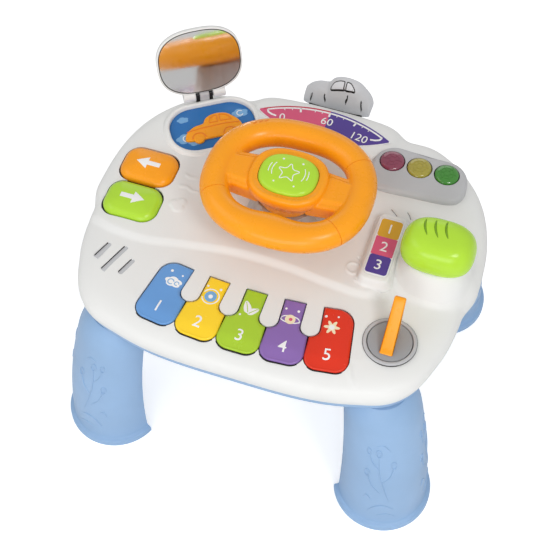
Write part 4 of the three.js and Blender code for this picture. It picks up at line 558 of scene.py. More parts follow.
# Generic ornaments of the deck: clouds, waves, dashes and rings
PUFFS = ((-102.3, -8.5, 3.9), (-96, -4.8, 4.1), (-97.5, -11, 5.2))
WAVES = ([(-103.4, 25.8), (-99.5, 24), (-93.7, 25.2)],
         [(-103.8, 12.1), (-97.8, 12.9), (-92, 10.2), (-87, 10.6)])
STROKES = ([(86.8, 48.2), (91.6, 44.4), (97.1, 39)], [(101.7, 49.5), (104.4, 46.6), (106.5, 42.7)],
           [(74, -12), (78.6, -16.5), (80.5, -21)])
RINGS = ((72.2, -24, 5.6), (79.9, -33.5, 3.0))
TAB = ([(-158, 84), (-158.6, 80.6)], [(-159.4, 80), (-165.9, 67.9), (-170, 58)])
FOLD = ([(93.6, -112.8), (99.5, -123.8), (105.3, -134.6)],)


def relief(x, y):
    z = np.zeros_like(x)
    for cx, cy, r in PUFFS:
        z = np.maximum(z, smooth((r - np.hypot(x - cx, y - cy)) / 2.6 + 0.5))
    for lines, width, height in ((WAVES, 1.5, 0.9), (STROKES, 0.9, -0.9), (TAB, 1.0, -0.8), (FOLD, 2.4, 1.2)):
        for line in lines:
            z = z + height * np.exp(-(line_distance(np.column_stack([x, y]), np.array(line)) / width) ** 2)
    for cx, cy, r in RINGS:
        z = z + 0.8 * np.exp(-((np.hypot(x - cx, y - cy) - r) / 1.1) ** 2)
    return z


def edge_height(edge, run):
    """Height share of a rounded edge over its upper half, at shares of its run."""
    fine = catmull(edge, 60, closed=False)
    fine = fine[np.argsort(fine[:, 0])]
    return np.interp(run, *fine.T)


def deck_height(x, y, d):
    """Height of the housing's skin at a point, from its inset from the outline."""
    run = np.clip(d / EDGE_RUN, 0, 1)
    low = SKIRT + (DECK - SKIRT) * edge_height(DECK_EDGE, run)
    high = SKIRT + (DASH - SKIRT) * edge_height(DASH_EDGE, run)
    step_width = 9.0 + 20 * smooth((x - 88) / 34)
    z = low + (high - low) * smooth((y - np.interp(x, *dash_line.T) + 1.0) / step_width)
    z = z + (ARCH - DASH) * np.minimum(smooth((y - 95.5) / 5), smooth((73.5 - np.abs(x)) / 5)) * run
    from_knob = sum(np.abs((u - at) / MOUND_HALF) ** MOUND_POWER for u, at in zip((x, y), KNOB))
    out = from_knob ** (1 / MOUND_POWER) * MOUND_HALF - MOUND_HALF
    z = z + 6.0 * np.exp(-((out - 1.0) / 4.2) ** 2) * smooth(d / 8)
    return z + relief(x, y) * smooth(run * 2)


def deck_form():
    loop = table_loop()
    inner = inward(loop, EDGE_RUN)

    def over(points, d):
        return np.column_stack([points, deck_height(*points.T, d)])
    rings = [lift(inward(loop, EDGE_RUN * run), SKIRT + (DECK - SKIRT) * up) for run, up in SKIRT_EDGE]
    rings += [over(inward(loop, d), d) for d in EDGE_RUN * np.linspace(0, 1, 26) ** 1.6]
    rings += [over(inner * t, EDGE_RUN) for t in np.linspace(1, CORE, 112)[1:]]
    rings += [lift(inner * t, DECK_UNDER) for t in (CORE, 0.5, 1)]
    rings += [lift(inward(loop, EDGE_RUN * run + WALL), SKIRT + (DECK - SKIRT) * up - (WALL if up else 0))
              for run, up in INNER_EDGE]
    return loft(rings, wrap=True)


# A key's outline from its front edge: half widths, length, corners and where the neck begins
KEY_WIDE, KEY_BACK, KEY_LONG, NECK, NECK_START = 19.1, 17.9, 61.0, 9.25, 30
KEY_CORNER, OUTER_CORNER, NECK_CORNER = 11.5, 14, 8.65
KEY_SIDE = (-1, 0, 0, 0, 1)
KEY_PAINT = ("key_blue", "key_yellow", "key_green", "key_purple", "key_red")


def key_loop(side, grow=0.0):
    c, s = (f(np.linspace(0, TAU / 4, 10)) for f in (np.cos, np.sin))

    def half(sign):
        pts = [*zip(KEY_WIDE - KEY_CORNER + KEY_CORNER * s, KEY_CORNER - KEY_CORNER * c)]
        if sign == side:
            pts += zip(KEY_BACK - OUTER_CORNER + OUTER_CORNER * c, KEY_LONG - OUTER_CORNER + OUTER_CORNER * s)
        else:
            pts += zip(KEY_BACK - NECK_CORNER * s, NECK_START + NECK_CORNER - NECK_CORNER * c)
            pts += [(NECK, KEY_LONG)]
        return [(sign * px, py) for px, py in pts]
    return inset(np.array(half(1) + half(-1)[::-1]), -grow)


def key_place(points, i):
    """Points of a key's own outline, carried to its place in the fan."""
    return turned(points - np.array((0, FAN_R)), 0, KEY_FRONT + FAN_R, math.radians((i - 2) * FAN_STEP))


def key_at(i, grow):
    return key_place(key_loop(KEY_SIDE[i], grow), i)


def turn_loop(y, w, d, corner, steps=8):
    return round_rect(w, d, corner, steps, TURN_X, y)


def collar(inner, outer, low, top):
    """A square ring between two outlines."""
    return loft([lift(inner, low), lift(outer, low), lift(outer, top), lift(inner, top)], wrap=True)


# Deck with its openings, and dark rings deep in the gaps round the keys and the turn buttons, painted shade
CUT_TOP = 240
deck = made("deck_skin", deck_form(), "shell_white", "root", "top_shell")
tray_outline = round_rect(82, 54, 24, 12)
slots = [(32 if i == 0 else 19, -i * 14.2) for i in (-1, 0, 1)]
holes = [key_at(i, 0.8) for i in range(5)] + [turn_loop(y, 54.0, 41.2, 14.4) for y in TURN_Y]
holes += [disc(*LOCK, 21.9, 64)] + [disc(x, LENS_Y, 11.7, 48) for x in LENS_X]
openings = [slug(hole, 205, CUT_TOP) for hole in holes]
openings.append(slug(turned(tray_outline, *TRAY), 215, CUT_TOP))
openings += [slug(turned(round_rect(long, 5, 2.2, 5, 0, y), *SPEAKER), 190, CUT_TOP) for long, y in slots]
shaped(deck, openings, sharp=30)
gaps = [collar(key_at(i, 0.12), key_at(i, 1.3), 218.6, 220.4) for i in range(5)]
gaps += [collar(turn_loop(y, 52.3, 38.8, 14.1), turn_loop(y, 54.6, 41.6, 14.6), 220.6, 222.4) for y in TURN_Y]
made("control_shadow_gaps", gaps, "gap_dark")

# Mound under the gear knob and the raised strip beside it: growth or inset of the outline, and height
MOUND_FOOT = ((4.4, -1.6), (3.6, 0.15), (2.4, 1.0))
MOUND_SIDE = ((1.0, 232.6), (0.1, 235), (-1.6, 239), (-3.3, 242.5), (-4.9, 245.6), (-5.8, 247.2),
              (-7.2, 248.4), (-9.2, 249))
STRIP_SIDE = ((-3.4, 221), (-3.2, 224.9), (-2.2, 225.3), (-1.3, 226.4), (-0.6, 228.4), (0.2, 231),
              (0.9, 232.8), (1.7, 233.7), (2.6, 234))


def mound_loop(grow):
    return superloop(MOUND_HALF + grow, MOUND_HALF + grow, MOUND_POWER, 96, *KNOB)


def on_deck(loop, above):
    """A loop laid on the deck, at a height above it."""
    from_edge = slim_reach(*loop.T) - np.linalg.norm(loop, axis=1)
    return np.column_stack([loop, deck_height(*loop.T, np.maximum(from_edge, 0)) + above])


rings = [lift(mound_loop(1.0), 214)] + [on_deck(mound_loop(grow), above) for grow, above in MOUND_FOOT]
rings += [lift(mound_loop(grow), z) for grow, z in MOUND_SIDE]
mound = made("mound_skin", loft(rings), "shell_white", "root", "top_shell")
shaped(mound, [slug(round_rect(9, 34.5, 2.2, 5, *KNOB), 244, 260)])
form = stack(lambda g: inset(round_rect(28, 74, 7, 8, *ISLAND), g), STRIP_SIDE)
label_strip = made("label_strip_skin", form, "shell_white", "root", "top_shell")
shaped(label_strip, [slug(round_rect(22.6, 62.6, 5.3, 8, *ISLAND), 233.5, CUT_TOP)])

# Fluted column under the wheel: radius and height
COLUMN_SIDE = ((38, 221), (37.6, 226.4), (36.6, 227.6), (34.6, 231), (32, 237), (29.6, 244), (27.6, 250),
               (27, 252.2))


def fluted(radius):
    a = turns(240)
    return around(a, radius + 0.9 * np.abs(np.cos(6 * a)) ** 0.7 * 1.6 - 1.1, 0, WHEEL_Y)


column = made("column_skin", stack(fluted, COLUMN_SIDE), "grey_plastic", "root", "top_shell")
shaped(column, [slug(disc(0, WHEEL_Y, 8.6, 48), 200, 270)])

# Steering wheel: rim with a thicker front grip, two stepped spokes and an oval hub
RIM_WIDE, RIM_DEEP, RIM_THICK, GRIP = 63.8, 55, 13, 6
SPOKE_INNER, SPOKE_OUTER = 22.0, 60.5
SPOKE_LAYERS = ((0, -11, 6, 3), (-5.5, 2, 8.2, 2.2))       # growth, low and top face, fillet
HUB_SIDE = ((23.0, 23.0, -17.0), (24.5, 24.0, -16.2), (29, 26, -6), (33.6, 28.8, 0.4), (35, 30, 3.4),
            (35, 30, 8.6), (34.6, 29.6, 10.6), (33.6, 28.6, 12.2), (32.2, 27.2, 13.0), (30.4, 25.4, 13.0),
            (29.6, 24.6, 12.2))
PARTING_ANGLES = (33, 208, 324)


def at_wheel(form):
    return form[0] + (0, WHEEL_Y, WHEEL_Z), form[1]


def rim_form(n=160, grow=0.0, span=None):
    """The rim, or a stretch of it between two angles, thicker by grow."""
    k = turns(36)
    rings = []
    for a in turns(n) if span is None else np.linspace(*span, n):
        c, s = math.cos(a), math.sin(a)
        reach = (abs(c / RIM_WIDE) ** 2.4 + abs(s / RIM_DEEP) ** 2.4) ** (-1 / 2.4)
        bulge = GRIP * math.exp(-((reach * c / 30) ** 2)) if s < 0 else 0
        out = reach - bulge / 2 + (RIM_THICK + bulge / 2 + grow) * np.cos(k)
        rings.append(np.column_stack([out * c, out * s, (RIM_THICK + grow) * np.sin(k)]))
    return at_wheel(loft(rings, wrap=span is None))


wheel = made("wheel_skin", rim_form(), "orange_plastic", "steering", "steering_wheel")
joins = []
for side in (-1, 1):
    for grow, low, top, fillet in SPOKE_LAYERS:
        spoke = np.array([(SPOKE_INNER, -21 - grow), (SPOKE_OUTER, -17 - grow), (SPOKE_OUTER, 17 + grow),
                          (SPOKE_INNER, 21 + grow)])
        joins.append(solid(at_wheel(slab(ccw(spoke * (side, 1)), low, top, fillet, 5, fillet))))
hub = loft([lift(superloop(a, b, 2.5 if z > -8 else 2.1, 96), z) for a, b, z in HUB_SIDE])
shaped(wheel, joins + [solid(at_wheel(hub))], "UNION")
softened(wheel, 1.0, 4)
cuts = []
for a in np.radians(PARTING_ANGLES):
    core = solid(rim_form(3, -0.8, (a - 0.009, a + 0.009)))
    cuts.append(shaped(solid(rim_form(3, 0.25, (a - 0.004, a + 0.004))), [core]))
cuts.append(slug(superloop(26.45, 21.95, 2.5, 96, 0, WHEEL_Y), 274, 300))
cuts.append(slug(disc(0, WHEEL_Y, 8.3, 48), 240, 265.3))
shaped(wheel, cuts, sharp=40)
MARKS = ((-46.5, 59.5), (-42.2, 62.6), (-37.8, 65.3))
marks = [ribbon([(x - 1.1, y - 1.5), (x + 1.1, y + 1.5)], 1.1) for x, y in MARKS]
decal("wheel_marks", "relief_orange", marks, wheel, thick=0.3, cell=2)

# Horn pad with a star, arcs and spots: each arc's radius and angles
HORN_ARCS = ((14.6, 150, 205), (14.6, -25, 30), (17.6, 160, 192), (17.6, -12, 20))
HORN_SPOTS = ((-8.5, 13, 1.0), (9.5, 12.4, 1.0), (-9.5, -12.5, 0.8), (8.8, -13, 0.8))


def rounded_star(x, y, r):
    return catmull(around(TAU / 4 + turns(10), np.tile((r, r * 0.55), 5), x, y), 60)


form = pillow(superloop(26, 21.5, 2.5, 96, 0, WHEEL_Y), 278.6, 285.4, 3.4, 1.6, 60, 40, 14)
horn = made("horn_skin", form, "lime_plastic", "horn", "horn_button")
motif = [ribbon(rounded_star(0, WHEEL_Y - 0.5, 9.6), 0.75, True)]
motif += [ribbon(arc(0, WHEEL_Y, r, start, end), 0.75) for r, start, end in HORN_ARCS]
decal("horn_motif", "ink_white", motif + dots(*((x, WHEEL_Y + y, r) for x, y, r in HORN_SPOTS)), horn)
# Grey lines in two of the deck's moulded grooves, painted shade
decal("deck_strokes", "groove_shade_grey", [ribbon(line, 0.6) for line in STROKES[:2]], deck, thick=0.15, cell=3)


# Piano keys, with a figure and a small generic motif on each
def cloud(cx, cy, s):
    a = turns(72)
    r = s * (0.82 + 0.2 * np.abs(np.sin(2.5 * a + 0.4)))
    return np.column_stack([cx + 1.25 * r * np.cos(a), cy + 0.8 * r * np.sin(a)])


def leaf(cx, cy, s, turn):
    t = turns(40)
    outline = np.column_stack([s * np.cos(t), 0.52 * s * np.sin(t) * (1 - 0.35 * np.cos(t))])
    return turned(outline, cx, cy, turn)


def flower(cx, cy, s):
    a = turns(90)
    return around(a, s * (0.72 + 0.28 * np.cos(6 * a)), cx, cy)


MOTIFS = (
    [("ink_white", [polygon(cloud(0, 41, 6.4)), *dots((-6.5, 51, 1.3), (4.5, 50, 0.9))]),
     ("ink_sky", [ribbon(arc(-2.2, 40.5, 2.6, 20, 320), 0.9), ribbon(arc(3.6, 40.6, 1.9, 0, 300), 0.8)])],
    [("ink_sky", dots((0, 41, 5.4))),
     ("ink_white", [ribbon(arc(0, 41, 7.4, 200, 520, 60), 1.0),
                    *dots((0, 41, 2.0), (-6.3, 50.3, 1.0), (5.6, 50.6, 1.2))])],
    [("ink_white", [polygon(leaf(-2.6, 42.5, 6.2, 2.0)), polygon(leaf(3.6, 39.8, 5.4, 0.7)),
                    *dots((-6.2, 33.6, 1.0))]),
     ("key_green", [ribbon([(-4.8, 47), (-2.6, 42.5), (-0.6, 37.6)], 0.7),
                    ribbon([(0.6, 36.6), (6.6, 42.8)], 0.7)])],
    [("ink_white", [ribbon(catmull(superloop(8.2, 3.4, 2, 40, 0, 41), 60), 1.0, True),
                    *dots((-5.8, 50.8, 1.0), (5.2, 50.4, 1.2))]),
     ("ink_cream", dots((0, 41, 4.6))), ("ink_pink", dots((0.4, 41, 1.6)))],
    [("ink_cream", [polygon(flower(0, 41, 7.0))]),
     ("ink_white", dots((0, 41, 2.4), (-6.4, 51, 1.2), (4.2, 52, 0.9)))],
)


def key_crown(x, y):
    return 1.1 * (1 - (x / 19) ** 2) * smooth(y / 16) - smooth((14 - y) / 14)


for i, motif in enumerate(MOTIFS):
    number, body = i + 1, f"key_{i + 1}"
    v, f = pillow(key_loop(KEY_SIDE[i]), 212.6, 223.0, 2.4, 0.0, 64, 34, form=key_crown)
    v = np.column_stack([key_place(v[:, :2], i), v[:, 2]])
    key = made(f"{body}_skin", (v, f), KEY_PAINT[i], body, f"piano_key_{number}")
    v, f = glyphs(str(number), 15.5, 0.045)
    decal(f"{body}_figure", "ink_white", [(key_place(v + (0, 14.5), i), f)], key)
    for n, (ink, shapes) in enumerate(motif):
        decal(f"{body}_motif_{n}", ink, [(key_place(p, i), q) for p, q in shapes], key, thick=0.10 + 0.03 * n)

# Turn buttons with plain arrows
ARROW_HEAD = np.array([(1, -6.6), (12, 0), (1, 6.6)])
for name, way, y, paint in zip(("left", "right"), (-1, 1), TURN_Y, ("orange_plastic", "lime_plastic")):
    form = pillow(turn_loop(y, 52, 38.5, 14, 12), 218.9, 228.8, 6.2, 2.8, 56, 44, 19)
    button = made(f"turn_button_{name}_skin", form, paint, f"turn_{name}", f"turn_button_{name}")
    arrow = [polygon(ARROW_HEAD * (way, 1) + (TURN_X, y)),
             ribbon([(TURN_X - 11 * way, y), (TURN_X + way, y)], 4.8)]
    decal(f"turn_button_{name}_arrow", "ink_white", arrow, button)

# Traffic light panel, its outline as shares of the half width and rear depth, and its three lights
PANEL = np.array([(.305, .56), (.325, .68), (.39, .745), (.48, .748), (.57, .737), (.65, .742), (.73, .73),
                  (.785, .67), (.805, .57), (.785, .48), (.72, .44), (.56, .428), (.4, .42), (.325, .45)])
LENS_SIDE = ((10.6, 226.2), (11.2, 227), (11.2, 231.4), (11.0, 232.5), (10.3, 233.4), (9.0, 234.1),
             (7.0, 234.6), (4.4, 234.9), (1.6, 235.0))
form = pillow(ccw(catmull(PANEL * (HALF_WIDTH, REAR), 160)), 221.4, 231.4, 4.2, 0.8, 56, 60, 16)
panel = made("traffic_panel_skin", form, "grey_plastic", "root", "traffic_panel")
shaped(panel, [slug(disc(x, LENS_Y, 12.0, 64), 224, CUT_TOP) for x in LENS_X])
for x, name in zip(LENS_X, ("red", "yellow", "green")):
    def lens_loop(r):
        return disc(x, LENS_Y, r, 64)
    paint = f"lens_{name}"
    lens = made(f"lens_{name}_skin", stack(lens_loop, LENS_SIDE), paint, f"light_{name}", f"lens_{name}")
    cells = [ribbon(disc(x, LENS_Y, r, 40), 0.55, True) for r in (3.0, 6.2)]
    cells += [ribbon(np.outer((3, 8.6), (math.cos(a), math.sin(a))) + (x, LENS_Y), 0.5) for a in turns(6)]
    decal(f"lens_{name}_cells", paint, cells, lens, thick=0.25)
    # A dark ring in the gap round each lens, painted shade
    made(f"lens_{name}_rim_shade", collar(lens_loop(11.75), lens_loop(12.0), 229.6, 230.3), "gap_dark")

# Speedometer label on the arch: its outline is two arcs that meet in points
DIAL_TIP, DIAL_TOP, DIAL_LOW, DIAL_REACH, DIAL_SPLIT = 120.4, 139.4, 100.6, 66.0, 1.6
SCALE_END = ((56.6, 122.6), (55.2, 119.6), (51.4, 117.9), (46.6, 117.3))
SCALE_TICKS = (((-27, DIAL_SPLIT, 28.5), 0.95, 4.6, 1.8),
               ((-42, -35, -13, -6, 9, 16, 36, 43), 0.97, 2.4, 0.7))
DIAL_RANGES = (("low", "ink_pink", -65, DIAL_SPLIT), ("high", "ink_purple", DIAL_SPLIT, 65))
DIAL_FIGURES = (("0", "ink_red", -40.6, 117.6), ("60", "gap_dark", 1.6, 125.6),
                ("120", "gap_dark", 36.6, 116.4))


def dial_arc(crown, shrink=0.0, n=60):
    """The arc through both tips, moved inward by shrink."""
    sag = crown - DIAL_TIP
    radius = (DIAL_REACH ** 2 + sag ** 2) / (2 * abs(sag))
    x = np.linspace(-DIAL_REACH, DIAL_REACH, n)
    drop = radius - np.sqrt(radius ** 2 - x ** 2)
    return np.column_stack([x, crown - math.copysign(1, sag) * (drop + shrink)])


def dial_field(x0, x1, margin):
    x = np.linspace(x0, x1, 60)
    outer, inner = (np.interp(x, *dial_arc(crown, margin).T) for crown in (DIAL_TOP, DIAL_LOW))
    keep = outer > inner + 0.3
    return polygon(np.vstack([np.column_stack([x, inner])[keep], np.column_stack([x, outer])[keep][::-1]]))


def dial_line(shrink, x0, x1, width):
    line = dial_arc(DIAL_TOP, shrink, 200)
    return ribbon(line[(line[:, 0] >= x0) & (line[:, 0] <= x1)], width)


dial_loop = np.vstack([dial_arc(DIAL_LOW), dial_arc(DIAL_TOP)[::-1][1:-1]])
dial = made("dial_skin", slab(dial_loop, 227.05, 227.95, 0.2, 3), "dial_print", "root", "dial_label")
fields = [decal(f"dial_{name}_range", ink, [dial_field(start, end, 0.5)], dial, cell=6)
          for name, ink, start, end in DIAL_RANGES]
decal("dial_red_line", "ink_red", [dial_line(1.2, -61, DIAL_SPLIT, 1.1)], dial, *fields, cell=4)
scale = [dial_line(3.2, -57, 57, 1.7)]
for places, lean, long, width in SCALE_TICKS:
    for x in places:
        top_y = np.interp(x, *dial_arc(DIAL_TOP, 3.2, 90).T)
        scale.append(ribbon([(x, top_y), (x * lean, top_y - long)], width))
scale += [ribbon(np.array(SCALE_END) * (side, 1), 1.9) for side in (-1, 1)]
decal("dial_scale", "ink_white", scale, dial, *fields, cell=3)
for text, ink, x, y in DIAL_FIGURES:
    for layer, (bold, paint) in enumerate(((0.085, ink), (0.03, "ink_white"))):
        v, f = glyphs(text, 12.0, bold)
        decal(f"dial_figure_{text}_{layer}", paint, [(turned(v, x, y, -0.004 * x), f)], dial, *fields,
              thick=0.12 + 0.05 * layer, cell=3, slot="dial_print")

# Gear label with three fields: colour, low and high end, corner
GEAR_FIELDS = (("ink_yellow", 9.9, 29.6, 2.6), ("ink_pink", -9.9, 9.9, 0.5), ("ink_purple", -29.6, -9.9, 2.6))
form = slab(round_rect(22, 62, 5, 8, *ISLAND), 233.65, 234.45, 0.25, 3)
gear_label = made("gear_label_skin", form, "gear_print", "root", "gear_label")
for number, (ink, y0, y1, corner) in enumerate(GEAR_FIELDS, 1):
    middle = (ISLAND[0], (y0 + y1) / 2)
    box = round_rect(19.4, y1 - y0, corner, 6, *middle)
    field = decal(f"gear_field_{number}", ink, [polygon(box)], gear_label, cell=5)
    v, f = glyphs(str(number), 14.5, 0.03)
    decal(f"gear_figure_{number}", "ink_white", [(v + middle, f)], field, cell=3)

# Gear knob, its side as shares of its depth and height, with three finger grooves
KNOB_SIDE = ((.17, 0), (.06, .06), (.01, .18), (0, .34), (.03, .5), (.1, .66), (.2, .8), (.34, .91),
             (.55, .98), (.8, 1))
KNOB_WIDE, KNOB_DEEP, KNOB_LOW, KNOB_TALL = 32, 25, 249.7, 29
GROOVES = ((124.2, 10.9, 128.8, -6.8), (132.8, 11.5, 138.3, -6.9), (142.2, 12.9, 146.6, -5.5))


def knob_loop(run):
    d = run * KNOB_DEEP
    return superloop(KNOB_WIDE - d, KNOB_DEEP - d, 2.7 - 0.3 * run, 120, *KNOB)


side = [(run, KNOB_LOW + KNOB_TALL * up) for run, up in catmull(KNOB_SIDE, 26, closed=False)]
knob = made("knob_skin", stack(knob_loop, side), "lime_plastic", "shift", "shift_knob")
knob_top = surface([knob])
t = np.linspace(0, 1, 16)
width = 1.25 * np.sin(math.pi * np.clip(t, 0.04, 0.96)) ** 0.35
cuts, shades = [], []
for x0, y0, x1, y1 in GROOVES:
    xs, ys = x0 + (x1 - x0) * t - 1.8 * np.sin(math.pi * t), y0 + (y1 - y0) * t
    zs = [height_on(knob_top, x, y) / MM for x, y in zip(xs * MM, (ys + SHIFT_Y) * MM)]
    path = np.column_stack([xs, ys, np.array(zs) + 0.25])
    cuts.append(solid(tube(path, width, 12)))
    shades.append(tube(path - (0, 0, 0.75), 0.55 * width, 8))
cuts.append(slug(round_rect(8.6, 12.6, 0.6, 4, *KNOB), 240, 264.4))
shaped(knob, cuts, sharp=50)
# Darker green strips deep in the finger grooves, painted shade
made("knob_groove_shades", shades, "groove_shade_green", "shift", sharp=50)

# Ignition switch: radius and height of its ring and disc, side view of its key and insets across its width
LOCK_RING = ((19.8, 211), (21.7, 211), (21.7, 221.2), (23.2, 221.2), (23.2, 222.9), (22.9, 223.5),
             (22.2, 223.9), (20.9, 224.0), (20.2, 223.7), (19.9, 223.1))
LOCK_DISC = ((6, 210), (9, 213.5), (9, 220.3), (19.2, 220.4), (19.2, 223.0), (18.9, 223.3), (2, 223.4))
KEY_FIN = ((-14, 0), (-4, 0), (6, 0), (11, 0.3), (12.6, 6), (13.6, 12), (19, 21.5), (23.4, 29), (24.2, 33.4),
           (22.6, 36), (19.4, 35.2), (10, 24), (-2, 11.5), (-10, 3.8))
FIN_WIDTHS = ((3.6, 0), (4.2, 0.3), (4.55, 0.75), (4.7, 1.3))
FIN_FOOT = 223.75


def lock_loop(r):
    return disc(*LOCK, r, 96)


made("lock_ring_skin", stack(lock_loop, LOCK_RING, wrap=True), "grey_plastic", "root", "ignition_ring")
made("lock_disc_skin", stack(lock_loop, LOCK_DISC), "lock_grey", "ignition", "ignition_rotor")
# A dark ring in the gap round the ignition ring, painted shade
made("lock_ring_shade", collar(lock_loop(22.6), lock_loop(23.5), 221.4, 222.6), "gap_dark")
fin = ccw(catmull(KEY_FIN, 90))
rings = []
for x, d in [(-x, d) for x, d in FIN_WIDTHS[::-1]] + [*FIN_WIDTHS]:
    p = inset(fin, d)
    wide = 1.24 - 0.005 * (p[:, 0] + 14)
    rings.append(np.column_stack([LOCK[0] + x * wide, LOCK[1] + p[:, 0], FIN_FOOT + np.maximum(p[:, 1], 0)]))
made("lock_key_skin", loft(rings), "orange_plastic", "ignition", "ignition_key")

# Picture tray: raised rim, sunk panel with plain clouds, and a relief of a generic car
TRAY_RIM = ((0.05, 221.6), (0.05, 226.8), (0.5, 227.6), (1.4, 228.0), (2.6, 228.0), (3.8, 227.5),
            (4.9, 226.4), (5.8, 225.2), (6.4, 224.2), (6.4, 222.8))
CAR = np.array([(-.5, .06), (-.49, .28), (-.42, .46), (-.3, .6), (-.16, .66), (-.1, .84), (0, .97), (.14, 1),
                (.28, .93), (.38, .74), (.45, .56), (.49, .34), (.5, .06), (.3, .0), (0, .0), (-.3, .0)])
CAR_WHEELS = (-.28, .26)
RELIEF_SIZE, RELIEF_LOW = (56, 28), (0, 14)
PANES = ([(-.05, .62), (-.02, .8), (.04, .88), (.1, .9), (.1, .62)],
         [(.15, .62), (.15, .9), (.23, .88), (.3, .78), (.34, .62)])
BELT_LINE = [(-.46, .4), (-.2, .46), (.2, .48), (.46, .42)]


def in_tray(points):
    return turned(points, *TRAY)


def on_relief(shares):
    return in_tray(np.array(shares) * RELIEF_SIZE - RELIEF_LOW)


form = stack(lambda g: in_tray(inset(tray_outline, -g)), TRAY_RIM, wrap=True)
made("tray_rim_skin", form, "shell_white", "root", "top_shell")
form = slab(in_tray(inset(tray_outline, 0.3)), 222.2, 223.8, 0.2, 3)
tray_panel = made("tray_panel_skin", form, "tray_blue", "root", "picture_panel")
clouds = ((-28, -8, 7.5), (-20, -14, 5.5), (29, 10, 6.5), (-26, 15, 4.6))
decal("tray_clouds", "ink_sky", [polygon(in_tray(cloud(*c))) for c in clouds], tray_panel, cell=4)
lines = [ribbon(in_tray(arc(*bow)), 0.8) for bow in ((-27, -8, 3.6, 20, 320), (29, 10, 3.0, 40, 330))]
lines.append(polygon(in_tray(cloud(24, -15, 3.4))))
decal("tray_cloud_lines", "ink_white", lines, tray_panel, thick=0.2, cell=4)
form = slab(in_tray(ccw(catmull(CAR * RELIEF_SIZE - RELIEF_LOW, 120))), 224.1, 226.5, 1.0, 5)
relief_car = made("relief_car_skin", form, "orange_plastic", "root", "relief_car")
hubs = [in_tray(disc(x * RELIEF_SIZE[0], -12.4, 5.2, 40)) for x in CAR_WHEELS]
shaped(relief_car, [solid(slab(hub, 224.1, 226.9, 0.9, 5)) for hub in hubs], "UNION")
lines = [ribbon(on_relief(p), 0.9, True) for p in PANES]
lines += [ribbon(in_tray(arc(x * RELIEF_SIZE[0], -12.5, 6.4, 0, 180)), 0.9) for x in CAR_WHEELS]
lines.append(ribbon(on_relief(BELT_LINE), 0.8))
decal("relief_car_lines", "relief_orange", lines, relief_car, thick=0.35, cell=3)

# Mirror lid on its hinge: insets and heights in the closed lid's own frame
HINGE_BACK, HINGE_LEVEL, LID_OPEN = 35.2, 232.6, -112
HINGE = (TRAY[0] - HINGE_BACK * math.sin(TRAY[2]), TRAY[1] + HINGE_BACK * math.cos(TRAY[2]), HINGE_LEVEL)
LUG_TURN = Matrix.Translation(HINGE) @ Matrix.Rotation(TRAY[2], 4, "Z")
LID_TURN = LUG_TURN @ Matrix.Rotation(math.radians(LID_OPEN), 4, "X")
LID_SIDE = ((1.75, -2.4), (1.75, -4.05), (1.6, -4.3), (0.7, -4.3), (0.25, -4.05), (0, -3.4), (0, 0.0),
            (0.3, 0.8), (1.1, 1.35), (2.6, 1.65), (6, 1.85), (14, 2.05), (24, 2.15))
PLATE_SIDE = ((2.35, -2.65), (2.35, -3.6), (2.6, -3.9), (12, -3.9), (24, -3.9))
EAR_X, EAR_HALF = 14.6, 5.9


def lid_loop(d):
    return superloop(41 - d, 33 - d, 2.6, 120, 0, -HINGE_BACK)


def barrel(x0, x1, radius):
    side = ((x0, radius - 0.6), (x0 + 0.5, radius), (x1 - 0.5, radius), (x1, radius - 0.6))
    return loft([lift(disc(0, 0, r, 32), x)[:, (2, 0, 1)] for x, r in side])


def block(x0, x1, y0, y1, z0, z1, r=0.8):
    loop = round_rect(x1 - x0, y1 - y0, r, 4, (x0 + x1) / 2, (y0 + y1) / 2)
    return slab(loop, z0, z1, min(r, (z1 - z0) / 3), 3)


form = moved(stack(lid_loop, LID_SIDE), LID_TURN)
lid = made("mirror_lid_skin", form, "shell_white", "mirror", "mirror_lid")
notch = stack(lambda corner: round_rect(17.8, 8, corner, 2), ((0.4, -8), (0.4, 8)))
shaped(lid, [solid(moved(notch, LID_TURN))])
# A dark ring in the gap between the lid's rim and the mirror, painted shade
made("mirror_edge_shade", moved(collar(lid_loop(1.9), lid_loop(2.4), -2.7, -4.0), LID_TURN), "gap_dark", "mirror")
form = moved(stack(lid_loop, PLATE_SIDE), LID_TURN)
made("mirror_plate_skin", form, "mirror_film", "mirror", "mirror_plate", sharp=30)
spans = [(side * EAR_X - EAR_HALF, side * EAR_X + EAR_HALF) for side in (-1, 1)]
ears = [barrel(*span, 5.4) for span in spans] + [block(*span, -9, 1, -3.0, 3.6, 1.2) for span in spans]
made("mirror_ears_skin", [moved(form, LID_TURN) for form in ears], "shell_white", "mirror", "mirror_lid")
# The dark barrel and block in the deck's slot beside the hinge lug are painted shade
LUGS = (("hinge_slots", 8.2, 2.9, 3.2, "gap_dark"),
        ("hinge_lug_skin", 4.6, 3.7, 3.9, "grey_plastic", "root", "top_shell"))
for name, half, radius, rear, *look in LUGS:
    lug = [barrel(-half, half, radius), block(-half, half, -radius, rear, -11, 0.5)]
    made(name, [moved(form, LUG_TURN) for form in lug], *look)

# Toy car on its lever behind the deck: a domed shell whose near side leans back, its lines seen from above
PANE_PLAN = ([(-6.0, -6.9), (-4.6, -3.6), (-0.6, -2.6), (4.6, -2.5), (5.2, -3.2), (5.2, -6.4), (4.6, -7.0)],
             [(8.4, -6.4), (8.4, -3.2), (9.2, -2.6), (12.4, -3.2), (16.2, -6.6), (15.4, -7.2), (9.2, -7.0)])
FENDER_PLAN = ((-26.2, -10.9, -25.2, -8.4), (-10.6, -11.2, -12.0, -8.6), (9.2, -11.2, 10.6, -9.2),
               (26.0, -10.8, 24.8, -8.4))
CAR_NEAR, CAR_FAR, CAR_RIDGE, CAR_SILL = -12.2, 10.2, 0.62, 2.0


